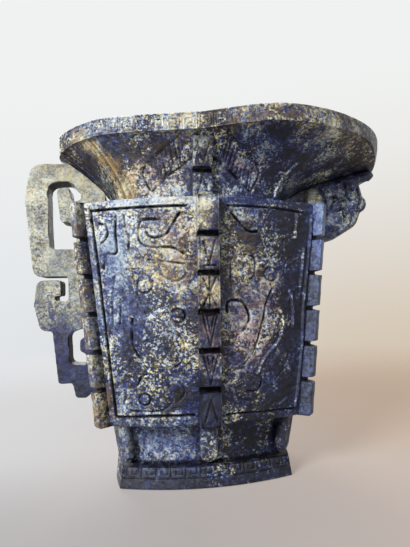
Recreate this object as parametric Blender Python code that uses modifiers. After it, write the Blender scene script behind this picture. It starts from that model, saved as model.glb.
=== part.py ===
"""Archaistic pouring vase cut from lapis lazuli and put together from bonded pieces.

A bow-fronted body stands on a block foot and carries a flared boat-shaped mouth. Notched
flanges run down the faces and corners, a pierced scroll handle is pinned to one end, and a
beast head sits below the spout at the other. X runs towards the spout, the front looks
along -Y, Z is up, and the origin is the middle of the flat base.
"""

import math

import bmesh
import bpy
from mathutils import Matrix, Vector

MM = 0.001

# Bonds and pins
BOND_GAP = 0.3 * MM
PIN_RADIUS = 1.25 * MM
PIN_SIDES = 12
CUT_OVERRUN = 2.0 * MM
WELD_DISTANCE = 0.02 * MM

# Steps along each quarter of a horizontal outline
OUTLINE_STEPS = 8
FILLET_STEPS = 3

# Heights
FOOT_HEIGHT = 24.8 * MM
BODY_HEIGHT = 88.1 * MM
NECK_HEIGHT = 34.1 * MM

# Body outline, top and bottom: half width and half depth at the corners, and the bows
BODY_TOP_WIDTH = 49.4 * MM
BODY_TOP_DEPTH = 25.0 * MM
BODY_TOP_FRONT_BOW = 14.0 * MM
BODY_TOP_SIDE_BOW = 0.2 * MM
BODY_BOTTOM_WIDTH = 40.3 * MM
BODY_BOTTOM_DEPTH = 23.5 * MM
BODY_BOTTOM_FRONT_BOW = 8.5 * MM
BODY_BOTTOM_SIDE_BOW = 0.2 * MM
BODY_FLOOR = 12.0 * MM

# Neck: its base outline, its walls and the spigot that enters the body
NECK_WIDTH = 33.0 * MM
NECK_DEPTH = 20.0 * MM
NECK_FRONT_BOW = 6.0 * MM
NECK_SIDE_BOW = 3.0 * MM
NECK_WALL = 9.0 * MM
SPIGOT_WALL = 3.0 * MM
SPIGOT_DEPTH = 6.0 * MM
NECK_SHARES = (0.0, 0.2, 0.4, 0.6, 0.75, 0.88, 0.96, 1.0)

# Mouth rim, from the handle end round the front to the spout tip
RIM_POINTS = (
    (-61.0 * MM, 0.0),
    (-59.0 * MM, -8.5 * MM),
    (-48.0 * MM, -21.5 * MM),
    (-34.0 * MM, -29.3 * MM),
    (0.0, -37.0 * MM),
    (28.0 * MM, -43.2 * MM),
    (52.0 * MM, -38.0 * MM),
    (72.0 * MM, -27.0 * MM),
    (84.3 * MM, -14.3 * MM),
    (90.4 * MM, 0.0),
)
RIM_ANCHORS = (0, 2, 4, 7, 9)
RIM_WALL = 5.0 * MM
RIM_RISE = 1.8 * MM
LIP_DROP = 5.0 * MM

# Upright band of the rim: how far it stands proud, its height round the mouth,
# and how far its foot is drawn in at the spout
BAND_STEP = 1.2 * MM
BAND_FRONT = 7.0 * MM
BAND_CORNER = 7.0 * MM
BAND_HANDLE_END = 9.5 * MM
BAND_SPOUT = 13.0 * MM
SPOUT_TUCK = 2.4 * MM
BAND_SHARES = (0.0, 0.5, 1.0)

# How sharply the neck flares out under the rim, as powers of its height
FLARE_POWER_FRONT = 3.2
FLARE_POWER_HANDLE_CORNER = 1.5
FLARE_POWER_SPOUT_CORNER = 1.9
FLARE_POWER_HANDLE_END = 1.6
FLARE_POWER_SPOUT = 1.8

# Foot: the band at its base and the waist above it
FOOT_WIDTH = 35.2 * MM
FOOT_DEPTH = 21.8 * MM
FOOT_FRONT_BOW = 6.2 * MM
FOOT_SIDE_BOW = 2.5 * MM
FOOT_BAND = 8.4 * MM
FOOT_BAND_SLOPE = 1.0 * MM
FOOT_WAIST_INSET = 4.5 * MM
FOOT_TOP_INSET = 2.0 * MM
TENON_WIDTH = 18.0 * MM
TENON_DEPTH = 10.0 * MM
TENON_BOW = 2.0 * MM
TENON_HEIGHT = 6.0 * MM

# Lines carved into the body's faces, in hundredths of a face's half width and height: across from its
# middle and up from its foot. The back repeats the front, and each end has the same lines on both halves.
DEEP_LINE_WIDTH = 1.7 * MM
DEEP_LINE_DEPTH = 0.85 * MM
FINE_LINE_WIDTH = 1.4 * MM
FINE_LINE_DEPTH = 0.62 * MM
LINE_FLOOR_SHARE = 0.4
LINE_OVERRUN = 0.3 * MM
LINE_STEPS = 2
EYE_STEPS = 12
FRONT_FRAMES = (
    ((-16, 96), (-34, 96), (-52, 96), (-70, 96), (-91.5, 96), (-90, 66.5), (-89.5, 38.5), (-88.5, 4.5),
     (-70, 4.5), (-52, 5), (-34, 5), (-15, 5)),
    ((16.5, 96), (34, 96), (51, 96), (68, 95.5), (85.5, 95)),
    ((16, 4.5), (34, 4.5), (52, 4), (70, 4), (89, 3.5)),
)
DEEP_FRONT_LINES = (
    ((-71.5, 93), (-73, 85.5), (-73.5, 77), (-81, 76.5), (-84, 75), (-85.5, 70)),
    ((-37.5, 90.5), (-48, 90.5), (-52.5, 89.5), (-54.5, 86), (-54.5, 82), (-51.5, 79.5), (-43.5, 78.5),
     (-28, 78), (-19.5, 75.5)),
    ((-21.5, 93), (-29, 86.5), (-34, 83.5), (-41.5, 82.5), (-46.5, 83.5), (-48, 85)),
    ((-65, 47.5), (-66.5, 40.5), (-66, 35), (-58, 27.5)),
    ((19.5, 93), (29, 87.5), (35, 85), (42.5, 85)),
    ((16.5, 49.5), (16, 52), (18.5, 54.5), (28.5, 54), (34, 51), (36.5, 47), (35, 44), (29.5, 40.5),
     (23.5, 38), (20.5, 34), (16.5, 31)),
)
FINE_FRONT_LINES = (
    ((-85.5, 90), (-82, 89.5), (-79.5, 88), (-79, 85), (-82, 82.5), (-85.5, 81.5)),
    ((-65, 93), (-64.5, 88.5), (-62.5, 83), (-63.5, 76.5), (-60, 74.5), (-45.5, 73), (-19, 71)),
    ((-39.5, 70), (-38.5, 67), (-35, 65), (-29.5, 63.5), (-23, 64), (-18, 66.5)),
    ((-78.5, 63.5), (-76.5, 66.5), (-72, 67.5), (-68.5, 65.5)),
    ((-74, 56.5), (-74.5, 51.5), (-76, 45.5)),
    ((-77.5, 13.5), (-79.5, 10), (-74, 7.5), (-60, 7), (-44.5, 7.5), (-36.5, 10), (-37, 13)),
    ((-36.5, 42), (-26, 40), (-21.5, 34.5), (-24.5, 28.5), (-35.5, 25.5), (-47.5, 26.5)),
    ((-52, 23.5), (-60.5, 22.5), (-65.5, 18.5)),
    ((21, 78), (21.5, 74.5), (19.5, 70.5), (19.5, 64.5), (20.5, 59.5)),
    ((31, 74.5), (37.5, 74), (40.5, 72), (40.5, 66), (37.5, 64), (28, 63)),
    ((58, 59.5), (52, 52.5), (50.5, 47), (47, 39.5), (43, 32.5)),
    ((73, 73.5), (68.5, 69), (71, 64.5), (79, 62)),
    ((21.5, 23.5), (33, 24.5), (44.5, 22.5), (50.5, 18.5), (46.5, 14), (36, 14)),
)
FRONT_EYES = (
    ((-52.5, 62), 2.9 * MM), ((-26, 48.5), 2.6 * MM), ((-60, 12.3), 2.2 * MM), ((56, 66), 2.7 * MM),
    ((29.5, 30), 2.1 * MM),
)
END_FRAME = ((-52, 94.5), (-79, 94.5), (-77, 6.5), (-30, 6.5))
END_LINES = (
    ((-36, 69), (-54, 68), (-67, 74), (-63, 81.5), (-52, 82.5), (-49, 78)),
    ((-33, 37), (-54, 39.5), (-66, 46.5), (-62, 55.5), (-44, 58), (-34, 53), (-44, 49)),
    ((-34, 30.5), (-54, 28.5), (-63, 21.5), (-52, 14.5), (-37, 16), (-38, 21)),
)

# Flanges: thickness, how far they stand out, how deep their roots are let in, and their notches
FLANGE_BLOCKS = 6
FLANGE_NOTCH_WIDTH = 2.0 * MM
CENTRE_FLANGE_THICKNESS = 8.2 * MM
CENTRE_FLANGE_REACH = 4.6 * MM
CENTRE_FLANGE_ROOT = 1.5 * MM
CENTRE_FLANGE_NOTCH = 2.0 * MM
CORNER_FLANGE_THICKNESS = 4.0 * MM
CORNER_FLANGE_REACH = 3.8 * MM
CORNER_FLANGE_ROOT = 2.0 * MM
CORNER_FLANGE_ANGLE = math.radians(38.0)
CORNER_FLANGE_NOTCH = 3.0 * MM
FLANGE_EDGE = 0.5 * MM
NECK_FLANGE_THICKNESS = 8.0 * MM
NECK_FLANGE_REACH = 3.4 * MM
NECK_FLANGE_ROOT = 1.2 * MM
NECK_FLANGE_NOTCH = 2.0 * MM
NECK_FLANGE_START = 0.03
NECK_FLANGE_END = 0.9
NECK_FLANGE_STEPS = 8
FOOT_FLANGE_THICKNESS = 7.0 * MM
FOOT_FLANGE_REACH = 3.2 * MM
FOOT_FLANGE_ROOT = 1.2 * MM
FOOT_FLANGE_CLEAR = 1.4 * MM

# Scroll handle: a slab in the middle plane, drawn as corners with rounding radii. Each corner
# is placed out from the body's end face and up from its shoulder, in millimetres. Corners
# above the shoulder are drawn for a set rise and then fitted to the room under the rim.
HANDLE_THICKNESS = 11.0 * MM
HANDLE_DRAWN_RISE = 22.7 * MM
HANDLE_RIM_CLEARANCE = 0.8 * MM
HANDLE_CREST_OUT = 7.4 * MM
HANDLE_ARM_CLEARANCE = 5.0 * MM
HANDLE_ARM_STEPS = 6
HANDLE_SEAT_DEPTH = 76.7 * MM
HANDLE_OUTER = (
    (23.6, 22.7, 7.0), (25.7, 5.8, 12.0),
    (25.1, -28.0, 4.5), (10.5, -28.0, 0.8), (11.6, -38.8, 1.5), (17.0, -38.4, 0.8),
    (16.8, -36.3, 0.4), (14.2, -36.3, 0.8), (13.5, -29.4, 1.5), (23.9, -29.4, 3.0),
    (26.2, -40.2, 5.0), (24.7, -51.2, 3.5), (19.7, -51.6, 1.0), (19.6, -74.2, 1.6),
    (13.7, -74.0, 0.8), (13.0, -80.2, 1.2), (8.8, -80.6, 1.0), (5.1, -77.8, 1.0),
)
HANDLE_LOOP = (
    (2.0, 6.2, 1.0), (2.0, 9.6, 1.2), (6.4, 14.4, 3.5), (16.0, 14.0, 4.0),
    (15.9, -1.2, 6.0), (16.8, -15.7, 1.0), (5.8, -15.8, 1.0), (4.7, -4.6, 1.0),
    (11.2, -3.8, 2.2), (12.4, 11.2, 2.0), (6.8, 12.2, 1.6), (5.8, 5.2, 1.6),
)
HANDLE_GAP = (
    (6.1, -50.4, 1.0), (13.1, -52.8, 3.0), (13.9, -66.0, 2.6), (6.9, -66.4, 1.0),
    (6.6, -61.8, 0.6), (9.1, -60.4, 1.4), (8.6, -55.6, 1.4), (6.3, -54.2, 0.6),
)

# Beast head: a slab under the spout. Its crest is placed back from the spout tip and down
# from the spout's underside, its jaw out from the body's end face and up from the shoulder.
HEAD_THICKNESS = 17.0 * MM
HEAD_ROUNDING = ((-1.0, 0.86), (-0.88, 0.95), (-0.6, 1.0), (0.6, 1.0), (0.88, 0.95), (1.0, 0.86))
HEAD_CENTRE = (18.0, 2.0)
HEAD_SPOUT_CLEARANCE = 0.6 * MM
HEAD_TOP_STEPS = 6
HEAD_BACK_SLANT = 2.4 * MM
HEAD_SEAT_DEPTH = 16.6 * MM
HEAD_TIP_SETBACK = 5.3 * MM
HEAD_CREST = ((3.3, 2.6, 1.2), (5.7, 4.4, 1.5), (12.3, 3.6, 0.8))
HEAD_JAW = ((31.0, 5.6, 8.0), (26.4, -6.2, 6.0), (15.0, -12.8, 6.0))

# Web behind the head: a thinner tongue that fills the space between the head, the shoulder and the neck
HEAD_WEB_THICKNESS = 9.0 * MM
HEAD_WEB_CLEARANCE = 0.8 * MM
HEAD_WEB_START = 1.5 * MM
HEAD_WEB_ROOT = 6.0 * MM

# Bosses on each face of the head: out from the end face, up from the shoulder, and radius
HEAD_BOSSES = {"eye": (20.9, 8.3, 3.6), "snout": (26.6, 4.0, 4.4), "cheek": (13.4, -4.2, 5.0)}
BOSS_SEGMENTS = 16
BOSS_RINGS = 8
BOSS_FLATTENING = 0.45

# Pins: the low one is placed up from the foot of the handle's seat, the others down from the shoulder
LOW_PIN_RISE = 4.5 * MM
HIGH_PIN_DEPTH = 21.8 * MM
HEAD_PIN_DEPTH = 8.2 * MM
PIN_LENGTH = 18.0 * MM
TOP_PIN_LENGTH = 13.0 * MM

# Stone colours, roughness and metallic value
LAPIS_BLUE = (0.045, 0.060, 0.200, 1.0)
LAPIS_FLANGE = (0.090, 0.100, 0.230, 1.0)
LAPIS_GREY = (0.270, 0.250, 0.230, 1.0)
LAPIS_DARK = (0.045, 0.055, 0.110, 1.0)
PIN_BRASS = (0.550, 0.380, 0.120, 1.0)
STONE_ROUGHNESS = 0.32
BRASS_ROUGHNESS = 0.35

# Levels worked out from the heights
BODY_BASE = FOOT_HEIGHT + BOND_GAP
BODY_TOP = BODY_BASE + BODY_HEIGHT
NECK_BASE = BODY_TOP + BOND_GAP
RIM_LEVEL = NECK_BASE + NECK_HEIGHT


def clear_scene():
    for old in list(bpy.data.objects):
        bpy.data.objects.remove(old, do_unlink=True)


def new_collection(name):
    collection = bpy.data.collections.new(name)
    bpy.context.scene.collection.children.link(collection)
    return collection


def stone(name, colour, roughness=STONE_ROUGHNESS, metallic=0.0):
    material = bpy.data.materials.new(name)
    material.use_nodes = True
    shader = material.node_tree.nodes["Principled BSDF"]
    shader.inputs["Base Color"].default_value = colour
    shader.inputs["Roughness"].default_value = roughness
    shader.inputs["Metallic"].default_value = metallic
    return material


def mesh_object(name, bm, collection):
    bmesh.ops.recalc_face_normals(bm, faces=bm.faces)
    mesh = bpy.data.meshes.new(name)
    bm.to_mesh(mesh)
    bm.free()
    made = bpy.data.objects.new(name, mesh)
    collection.objects.link(made)
    return made


def finish_part(part, colour, roughness=STONE_ROUGHNESS, metallic=0.0):
    part.data.materials.clear()
    part.data.materials.append(stone(part.name + "_surface", colour, roughness, metallic))
    return part


def round_edges(part, width, segments=2):
    bevel = part.modifiers.new("Rounded edges", "BEVEL")
    bevel.width = width
    bevel.segments = segments
    bevel.limit_method = "ANGLE"
    bevel.angle_limit = math.radians(40.0)


def as_cutter(cutter):
    cutter.hide_render = True
    cutter.display_type = "WIRE"
    return cutter


def combine(part, tool, operation="DIFFERENCE"):
    boolean = part.modifiers.new(tool.name, "BOOLEAN")
    boolean.operation = operation
    boolean.object = tool
    boolean.solver = "EXACT"


def cut_all(part, tools):
    """Cut every tool of a collection from a part in one step."""
    boolean = part.modifiers.new(tools.name, "BOOLEAN")
    boolean.operation = "DIFFERENCE"
    boolean.operand_type = "COLLECTION"
    boolean.collection = tools
    boolean.solver = "EXACT"


# Horizontal outlines: half of each runs from the handle end round the front to the spout end


def blend(start, end, share):
    return start + (end - start) * share


def bowed_half(width, depth, front_bow, side_bow):
    """Half of a rectangle whose four sides bow outward, as points with equal steps."""
    steps = OUTLINE_STEPS
    points = []
    for i in range(steps):
        y = -depth * i / steps
        points.append(Vector((-width - side_bow * (1 - (y / depth) ** 2), y)))
    for i in range(2 * steps):
        x = width * (i / steps - 1)
        points.append(Vector((x, -depth - front_bow * (1 - (x / width) ** 2))))
    for i in range(steps + 1):
        y = depth * (i / steps - 1)
        points.append(Vector((width + side_bow * (1 - (y / depth) ** 2), y)))
    return points


def spline_point(points, place):
    """A point on a smooth curve through the given points and mirrored past its ends."""
    last = len(points) - 1
    index = min(int(place), last - 1)
    share = place - index
    before = points[index - 1] if index else Vector((points[1].x, -points[1].y))
    after = points[index + 2] if index + 2 <= last else Vector((points[last - 1].x, -points[last - 1].y))
    start, end = points[index], points[index + 1]
    return 0.5 * (
        2 * start
        + (end - before) * share
        + (2 * before - 5 * start + 4 * end - after) * share**2
        + (3 * start - before - 3 * end + after) * share**3
    )


def rim_half():
    points = [Vector(p) for p in RIM_POINTS]
    outline = []
    for first, second in zip(RIM_ANCHORS, RIM_ANCHORS[1:]):
        for i in range(OUTLINE_STEPS):
            outline.append(spline_point(points, blend(first, second, i / OUTLINE_STEPS)))
    outline.append(points[-1].copy())
    return outline


def whole(half):
    """Close a half outline by mirroring it to the back."""
    return half + [Vector((p.x, -p.y)) for p in reversed(half[1:-1])]


def mirrored_values(half):
    return half + list(reversed(half[1:-1]))


def inset(outline, distance):
    """Move a closed outline inward by one distance, or by a distance for each point."""
    moved = []
    count = len(outline)
    distances = [distance] * count if isinstance(distance, float) else distance
    for i, point in enumerate(outline):
        along = (outline[(i + 1) % count] - outline[i - 1]).normalized()
        moved.append(point + Vector((-along.y, along.x)) * distances[i])
    return moved


def ring(outline, height):
    """Lift an outline to one height, or to a height for each point."""
    if isinstance(height, float):
        height = [height] * len(outline)
    return [Vector((p.x, p.y, z)) for p, z in zip(outline, height)]


def loft(rings, closed=False):
    """Skin rings of equal count; an open loft is capped, a closed one joins end to end."""
    bm = bmesh.new()
    loops = [[bm.verts.new(p) for p in one] for one in rings]
    count = len(rings[0])
    pairs = list(zip(loops, loops[1:]))
    if closed:
        pairs.append((loops[-1], loops[0]))
    for low, high in pairs:
        for i in range(count):
            j = (i + 1) % count
            bm.faces.new((low[i], low[j], high[j], high[i]))
    if not closed:
        bm.faces.new(loops[0])
        bm.faces.new(loops[-1])
    return bm


# Outlines drawn as corners with radii


def rounded_outline(corners):
    """Turn (x, z, radius) corners into points, with an arc at each corner."""
    points = []
    count = len(corners)
    for i, (x, z, radius) in enumerate(corners):
        corner = Vector((x, z))
        back = Vector(corners[i - 1][:2]) - corner
        ahead = Vector(corners[(i + 1) % count][:2]) - corner
        half_angle = back.angle(ahead) / 2
        reach = radius / math.tan(half_angle) if radius else 0.0
        reach = min(reach, 0.48 * back.length, 0.48 * ahead.length)
        if reach < 1e-6:
            points.append(corner)
            continue
        start = corner + back.normalized() * reach
        end = corner + ahead.normalized() * reach
        for step in range(FILLET_STEPS + 1):
            share = step / FILLET_STEPS
            points.append(
                start * (1 - share) ** 2 + corner * 2 * share * (1 - share) + end * share**2
            )
    return points


def in_millimetres(corners):
    return [(x * MM, z * MM, radius * MM) for x, z, radius in corners]


def upright_slab(name, outlines, thickness, collection):
    """A slab standing in the X-Z plane; outlines after the first are holes."""
    curve = bpy.data.curves.new(name + "_outline", "CURVE")
    curve.dimensions = "2D"
    curve.fill_mode = "BOTH"
    curve.extrude = thickness / 2
    for outline in outlines:
        spline = curve.splines.new("POLY")
        spline.points.add(len(outline) - 1)
        for point, place in zip(spline.points, outline):
            point.co = (place.x, place.y, 0.0, 1.0)
        spline.use_cyclic_u = True
    drawn = bpy.data.objects.new(name + "_outline", curve)
    collection.objects.link(drawn)
    bpy.context.view_layer.update()
    mesh = bpy.data.meshes.new_from_object(drawn.evaluated_get(bpy.context.evaluated_depsgraph_get()))
    bpy.data.objects.remove(drawn, do_unlink=True)
    bm = bmesh.new()
    bm.from_mesh(mesh)
    bpy.data.meshes.remove(mesh)
    bmesh.ops.remove_doubles(bm, verts=bm.verts, dist=WELD_DISTANCE)
    bmesh.ops.transform(bm, matrix=Matrix.Rotation(math.radians(90.0), 4, "X"), verts=bm.verts)
    return mesh_object(name, bm, collection)


def pillow_slab(name, outline, centre, thickness, rounding, collection):
    """A slab in the X-Z plane whose faces draw in towards a centre, so its edges are round."""
    rings = []
    for share, scale in rounding:
        drawn_in = [centre + (point - centre) * scale for point in outline]
        rings.append([Vector((p.x, share * thickness / 2, p.y)) for p in drawn_in])
    return mesh_object(name, loft(rings), collection)


def flat_slab(name, outline, thickness, collection):
    """A slab in its own X-Y plane, with its thickness centred on local Z."""
    bm = bmesh.new()
    face = bm.faces.new([bm.verts.new((p[0], p[1], -thickness / 2)) for p in outline])
    grown = bmesh.ops.extrude_face_region(bm, geom=[face])
    lifted = [item for item in grown["geom"] if isinstance(item, bmesh.types.BMVert)]
    bmesh.ops.translate(bm, verts=lifted, vec=(0.0, 0.0, thickness))
    return mesh_object(name, bm, collection)


def box(name, low, high, collection):
    bm = bmesh.new()
    bmesh.ops.create_cube(bm, size=1.0)
    low, high = Vector(low), Vector(high)
    bmesh.ops.scale(bm, vec=high - low, verts=bm.verts)
    bmesh.ops.translate(bm, vec=(low + high) / 2, verts=bm.verts)
    return mesh_object(name, bm, collection)


def cylinder(name, radius, start, end, collection):
    start, end = Vector(start), Vector(end)
    bm = bmesh.new()
    bmesh.ops.create_cone(
        bm, cap_ends=True, segments=PIN_SIDES, radius1=radius, radius2=radius, depth=(end - start).length
    )
    turn = Vector((0.0, 0.0, 1.0)).rotation_difference(end - start).to_matrix().to_4x4()
    bmesh.ops.transform(bm, matrix=Matrix.Translation((start + end) / 2) @ turn, verts=bm.verts)
    return mesh_object(name, bm, collection)


# Flanges


def flange_frame(foot, top, outward):
    """Axes of a flange: local X out of the surface, local Y up along it."""
    up = (top - foot).normalized()
    across = outward.cross(up).normalized()
    out = up.cross(across)
    axes = Matrix((out, up, across)).transposed().to_4x4()
    return Matrix.Translation(foot) @ axes


def notched_outline(length, reach, root, notch, blocks):
    points = [(-root, 0.0), (reach, 0.0)]
    for joint in range(1, blocks):
        middle = length * joint / blocks
        points += [
            (reach, middle - FLANGE_NOTCH_WIDTH / 2),
            (reach - notch, middle),
            (reach, middle + FLANGE_NOTCH_WIDTH / 2),
        ]
    points += [(reach, length), (-root, length)]
    return points


def let_in_flange(name, foot, top, outward, size, blocks, host, parts, cutters):
    """A notched strip whose root sits in a groove cut along its host."""
    reach, root, notch, thickness = size
    length = (top - foot).length
    frame = flange_frame(foot, top, outward)
    outline = notched_outline(length, reach, root - BOND_GAP, notch, blocks)
    strip = flat_slab(name, outline, thickness, parts)
    strip.matrix_world = frame
    round_edges(strip, FLANGE_EDGE, segments=1)
    groove = as_cutter(
        box(
            name + "_groove",
            (-root, -CUT_OVERRUN, -thickness / 2 - BOND_GAP),
            (reach + CUT_OVERRUN, length + CUT_OVERRUN, thickness / 2 + BOND_GAP),
            cutters,
        )
    )
    groove.matrix_world = frame
    combine(host, groove)
    return strip


# The body and what is cut into it


def body_outline(share):
    """Closed outline of the body at a share of its height."""
    return whole(
        bowed_half(
            blend(BODY_BOTTOM_WIDTH, BODY_TOP_WIDTH, share),
            blend(BODY_BOTTOM_DEPTH, BODY_TOP_DEPTH, share),
            blend(BODY_BOTTOM_FRONT_BOW, BODY_TOP_FRONT_BOW, share),
            blend(BODY_BOTTOM_SIDE_BOW, BODY_TOP_SIDE_BOW, share),
        )
    )


def body_side(height):
    """Distance of the body's end faces from the middle, at a height."""
    share = (height - BODY_BASE) / BODY_HEIGHT
    low = BODY_BOTTOM_WIDTH + BODY_BOTTOM_SIDE_BOW
    return blend(low, BODY_TOP_WIDTH + BODY_TOP_SIDE_BOW, share)


def neck_base_outline(wall=0.0):
    """Outline of the neck's base, drawn in by a wall."""
    return whole(bowed_half(NECK_WIDTH - wall, NECK_DEPTH - wall, NECK_FRONT_BOW, NECK_SIDE_BOW))


def tenon_outline(grow):
    return whole(bowed_half(TENON_WIDTH + grow, TENON_DEPTH + grow, TENON_BOW, TENON_BOW))


def build_body(parts, cutters):
    rings = [ring(body_outline(0.0), BODY_BASE), ring(body_outline(1.0), BODY_TOP)]
    body = mesh_object("body", loft(rings), parts)
    bore = neck_base_outline(NECK_WALL - SPIGOT_WALL - BOND_GAP)
    floor = BODY_BASE + BODY_FLOOR
    hollow = [ring(bore, floor), ring(bore, BODY_TOP + CUT_OVERRUN)]
    combine(body, as_cutter(mesh_object("body_hollow", loft(hollow), cutters)))
    socket = tenon_outline(BOND_GAP)
    socket_rings = [
        ring(socket, BODY_BASE - CUT_OVERRUN),
        ring(socket, FOOT_HEIGHT + TENON_HEIGHT + BOND_GAP),
    ]
    combine(body, as_cutter(mesh_object("foot_socket", loft(socket_rings), cutters)))
    return finish_part(body, LAPIS_BLUE)


def build_body_flanges(body, parts, cutters):
    low, high = body_outline(0.0), body_outline(1.0)
    steps = OUTLINE_STEPS
    places = {
        "flange_front": (2 * steps, -math.pi / 2),
        "flange_back": (6 * steps, math.pi / 2),
        "flange_front_left": (steps, math.pi + CORNER_FLANGE_ANGLE),
        "flange_front_right": (3 * steps, -CORNER_FLANGE_ANGLE),
        "flange_back_right": (5 * steps, CORNER_FLANGE_ANGLE),
        "flange_back_left": (7 * steps, math.pi - CORNER_FLANGE_ANGLE),
    }
    centre = (CENTRE_FLANGE_REACH, CENTRE_FLANGE_ROOT, CENTRE_FLANGE_NOTCH, CENTRE_FLANGE_THICKNESS)
    corner = (CORNER_FLANGE_REACH, CORNER_FLANGE_ROOT, CORNER_FLANGE_NOTCH, CORNER_FLANGE_THICKNESS)
    for name, (index, angle) in places.items():
        foot = Vector((*low[index], BODY_BASE))
        top = Vector((*high[index], BODY_TOP))
        outward = Vector((math.cos(angle), math.sin(angle), 0.0))
        size = centre if name in ("flange_front", "flange_back") else corner
        strip = let_in_flange(name, foot, top, outward, size, FLANGE_BLOCKS, body, parts, cutters)
        finish_part(strip, LAPIS_FLANGE)


# Lines carved into the body


def face_point(face, across, up):
    """A point on a face of the body, at shares of the face's half width and height."""
    width = blend(BODY_BOTTOM_WIDTH, BODY_TOP_WIDTH, up)
    depth = blend(BODY_BOTTOM_DEPTH, BODY_TOP_DEPTH, up)
    swell = 1 - across**2
    height = blend(BODY_BASE, BODY_TOP, up)
    way = -1 if face in ("front", "left") else 1
    if face in ("front", "back"):
        depth += blend(BODY_BOTTOM_FRONT_BOW, BODY_TOP_FRONT_BOW, up) * swell
        return Vector((width * across, depth * way, height))
    width += blend(BODY_BOTTOM_SIDE_BOW, BODY_TOP_SIDE_BOW, up) * swell
    return Vector((width * way, depth * across, height))


def out_of_face(face, across, up):
    """The direction that points straight out of a face of the body."""
    small = 0.01
    over = face_point(face, across + small, up) - face_point(face, across - small, up)
    rise = face_point(face, across, up + small) - face_point(face, across, up - small)
    out = over.cross(rise).normalized()
    middle = face_point(face, 0.0, up)
    outside = Vector((middle.x, middle.y, 0.0))
    return out if out.dot(outside) > 0 else -out


def eased_line(corners, steps):
    """Points along a smooth line through the corners."""
    points = [Vector(corner) for corner in corners]
    points = [points[0] * 2 - points[1], *points, points[-1] * 2 - points[-2]]
    line = []
    for before, start, end, after in zip(points, points[1:], points[2:], points[3:]):
        for i in range(steps):
            t = i / steps
            line.append(
                (
                    start * 2
                    + (end - before) * t
                    + (before * 2 - start * 5 + end * 4 - after) * t**2
                    + (start * 3 - before - end * 3 + after) * t**3
                )
                / 2
            )
    return line + [points[-2]]


def line_cutter(name, face, line, size, cutters, closed=False):
    """A cutter with sloping sides along a line of face shares."""
    width, depth = size
    floor = width / 2 * LINE_FLOOR_SHARE
    brink = blend(floor, width / 2, (depth + LINE_OVERRUN) / depth)
    path = [face_point(face, *place) for place in line]
    rings = []
    for i, (place, point) in enumerate(zip(line, path)):
        if closed:
            before, after = path[i - 1], path[(i + 1) % len(path)]
        else:
            before, after = path[max(i - 1, 0)], path[min(i + 1, len(path) - 1)]
        out = out_of_face(face, *place)
        along = (after - before).normalized()
        side = out.cross(along).normalized()
        if not closed and i in (0, len(path) - 1):
            point = point + along * (floor if i else -floor)
        section = ((-brink, LINE_OVERRUN), (brink, LINE_OVERRUN), (floor, -depth), (-floor, -depth))
        rings.append([point + side * across + out * lift for across, lift in section])
    as_cutter(mesh_object(name, loft(rings, closed), cutters))


def carve_body(body):
    cutters = new_collection("carved_lines")
    deep, fine = (DEEP_LINE_WIDTH, DEEP_LINE_DEPTH), (FINE_LINE_WIDTH, FINE_LINE_DEPTH)
    broad, ends = ("front", "back"), ("left", "right")
    drawn = [(broad, corners, deep, 1) for corners in FRONT_FRAMES]
    drawn += [(broad, corners, deep, LINE_STEPS) for corners in DEEP_FRONT_LINES]
    drawn += [(broad, corners, fine, LINE_STEPS) for corners in FINE_FRONT_LINES]
    for corners, steps in [(END_FRAME, 1)] + [(corners, LINE_STEPS) for corners in END_LINES]:
        other_half = tuple((-across, up) for across, up in corners)
        drawn += [(ends, corners, deep, steps), (ends, other_half, deep, steps)]
    for i, (faces, corners, size, steps) in enumerate(drawn):
        line = [(p.x / 100, p.y / 100) for p in eased_line(corners, steps)]
        for face in faces:
            line_cutter(f"line_{i}_{face}", face, line, size, cutters)
    for i, ((across, up), radius) in enumerate(FRONT_EYES):
        across, up = across / 100, up / 100
        width = blend(BODY_BOTTOM_WIDTH, BODY_TOP_WIDTH, up)
        turns = [2 * math.pi * step / EYE_STEPS for step in range(EYE_STEPS)]
        round_eye = [
            (across + radius * math.cos(turn) / width, up + radius * math.sin(turn) / BODY_HEIGHT)
            for turn in turns
        ]
        for face in broad:
            line_cutter(f"eye_{i}_{face}", face, round_eye, fine, cutters, closed=True)
    cut_all(body, cutters)


# The neck, its mouth and the short flanges on it


def round_the_half(handle_end, handle_corner, front, spout_corner, spout):
    """A value for each point of a half outline, eased between the places given."""
    marks = (handle_end, handle_corner, front, spout_corner, spout)
    values = []
    for start, end in zip(marks, marks[1:]):
        for i in range(OUTLINE_STEPS):
            ease = (1 - math.cos(math.pi * i / OUTLINE_STEPS)) / 2
            values.append(blend(start, end, ease))
    values.append(spout)
    return values


def rim_heights(outline):
    tip = RIM_POINTS[-1][0]
    return [RIM_LEVEL + RIM_RISE * math.sin(math.pi * min(max(p.x / tip, 0.0), 1.0)) for p in outline]


def flared_ring(base, rim, powers, share, start, ends):
    outline = [b + (r - b) * share**power for b, r, power in zip(base, rim, powers)]
    return ring(outline, [blend(start, end, share) for end in ends])


def neck_shape():
    """The outlines, flare powers and heights that the neck's surfaces share."""
    base = neck_base_outline()
    rim = whole(rim_half())
    powers = mirrored_values(
        round_the_half(
            FLARE_POWER_HANDLE_END,
            FLARE_POWER_HANDLE_CORNER,
            FLARE_POWER_FRONT,
            FLARE_POWER_SPOUT_CORNER,
            FLARE_POWER_SPOUT,
        )
    )
    bands = mirrored_values(
        round_the_half(BAND_HANDLE_END, BAND_CORNER, BAND_FRONT, BAND_CORNER, BAND_SPOUT)
    )
    tops = rim_heights(rim)
    band_feet = [top - band for top, band in zip(tops, bands)]
    return base, rim, powers, tops, band_feet


def spout_tucks():
    """How far the rim band is drawn in at its foot, round the outline."""
    return mirrored_values(round_the_half(0.0, 0.0, 0.0, 0.0, SPOUT_TUCK))


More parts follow.
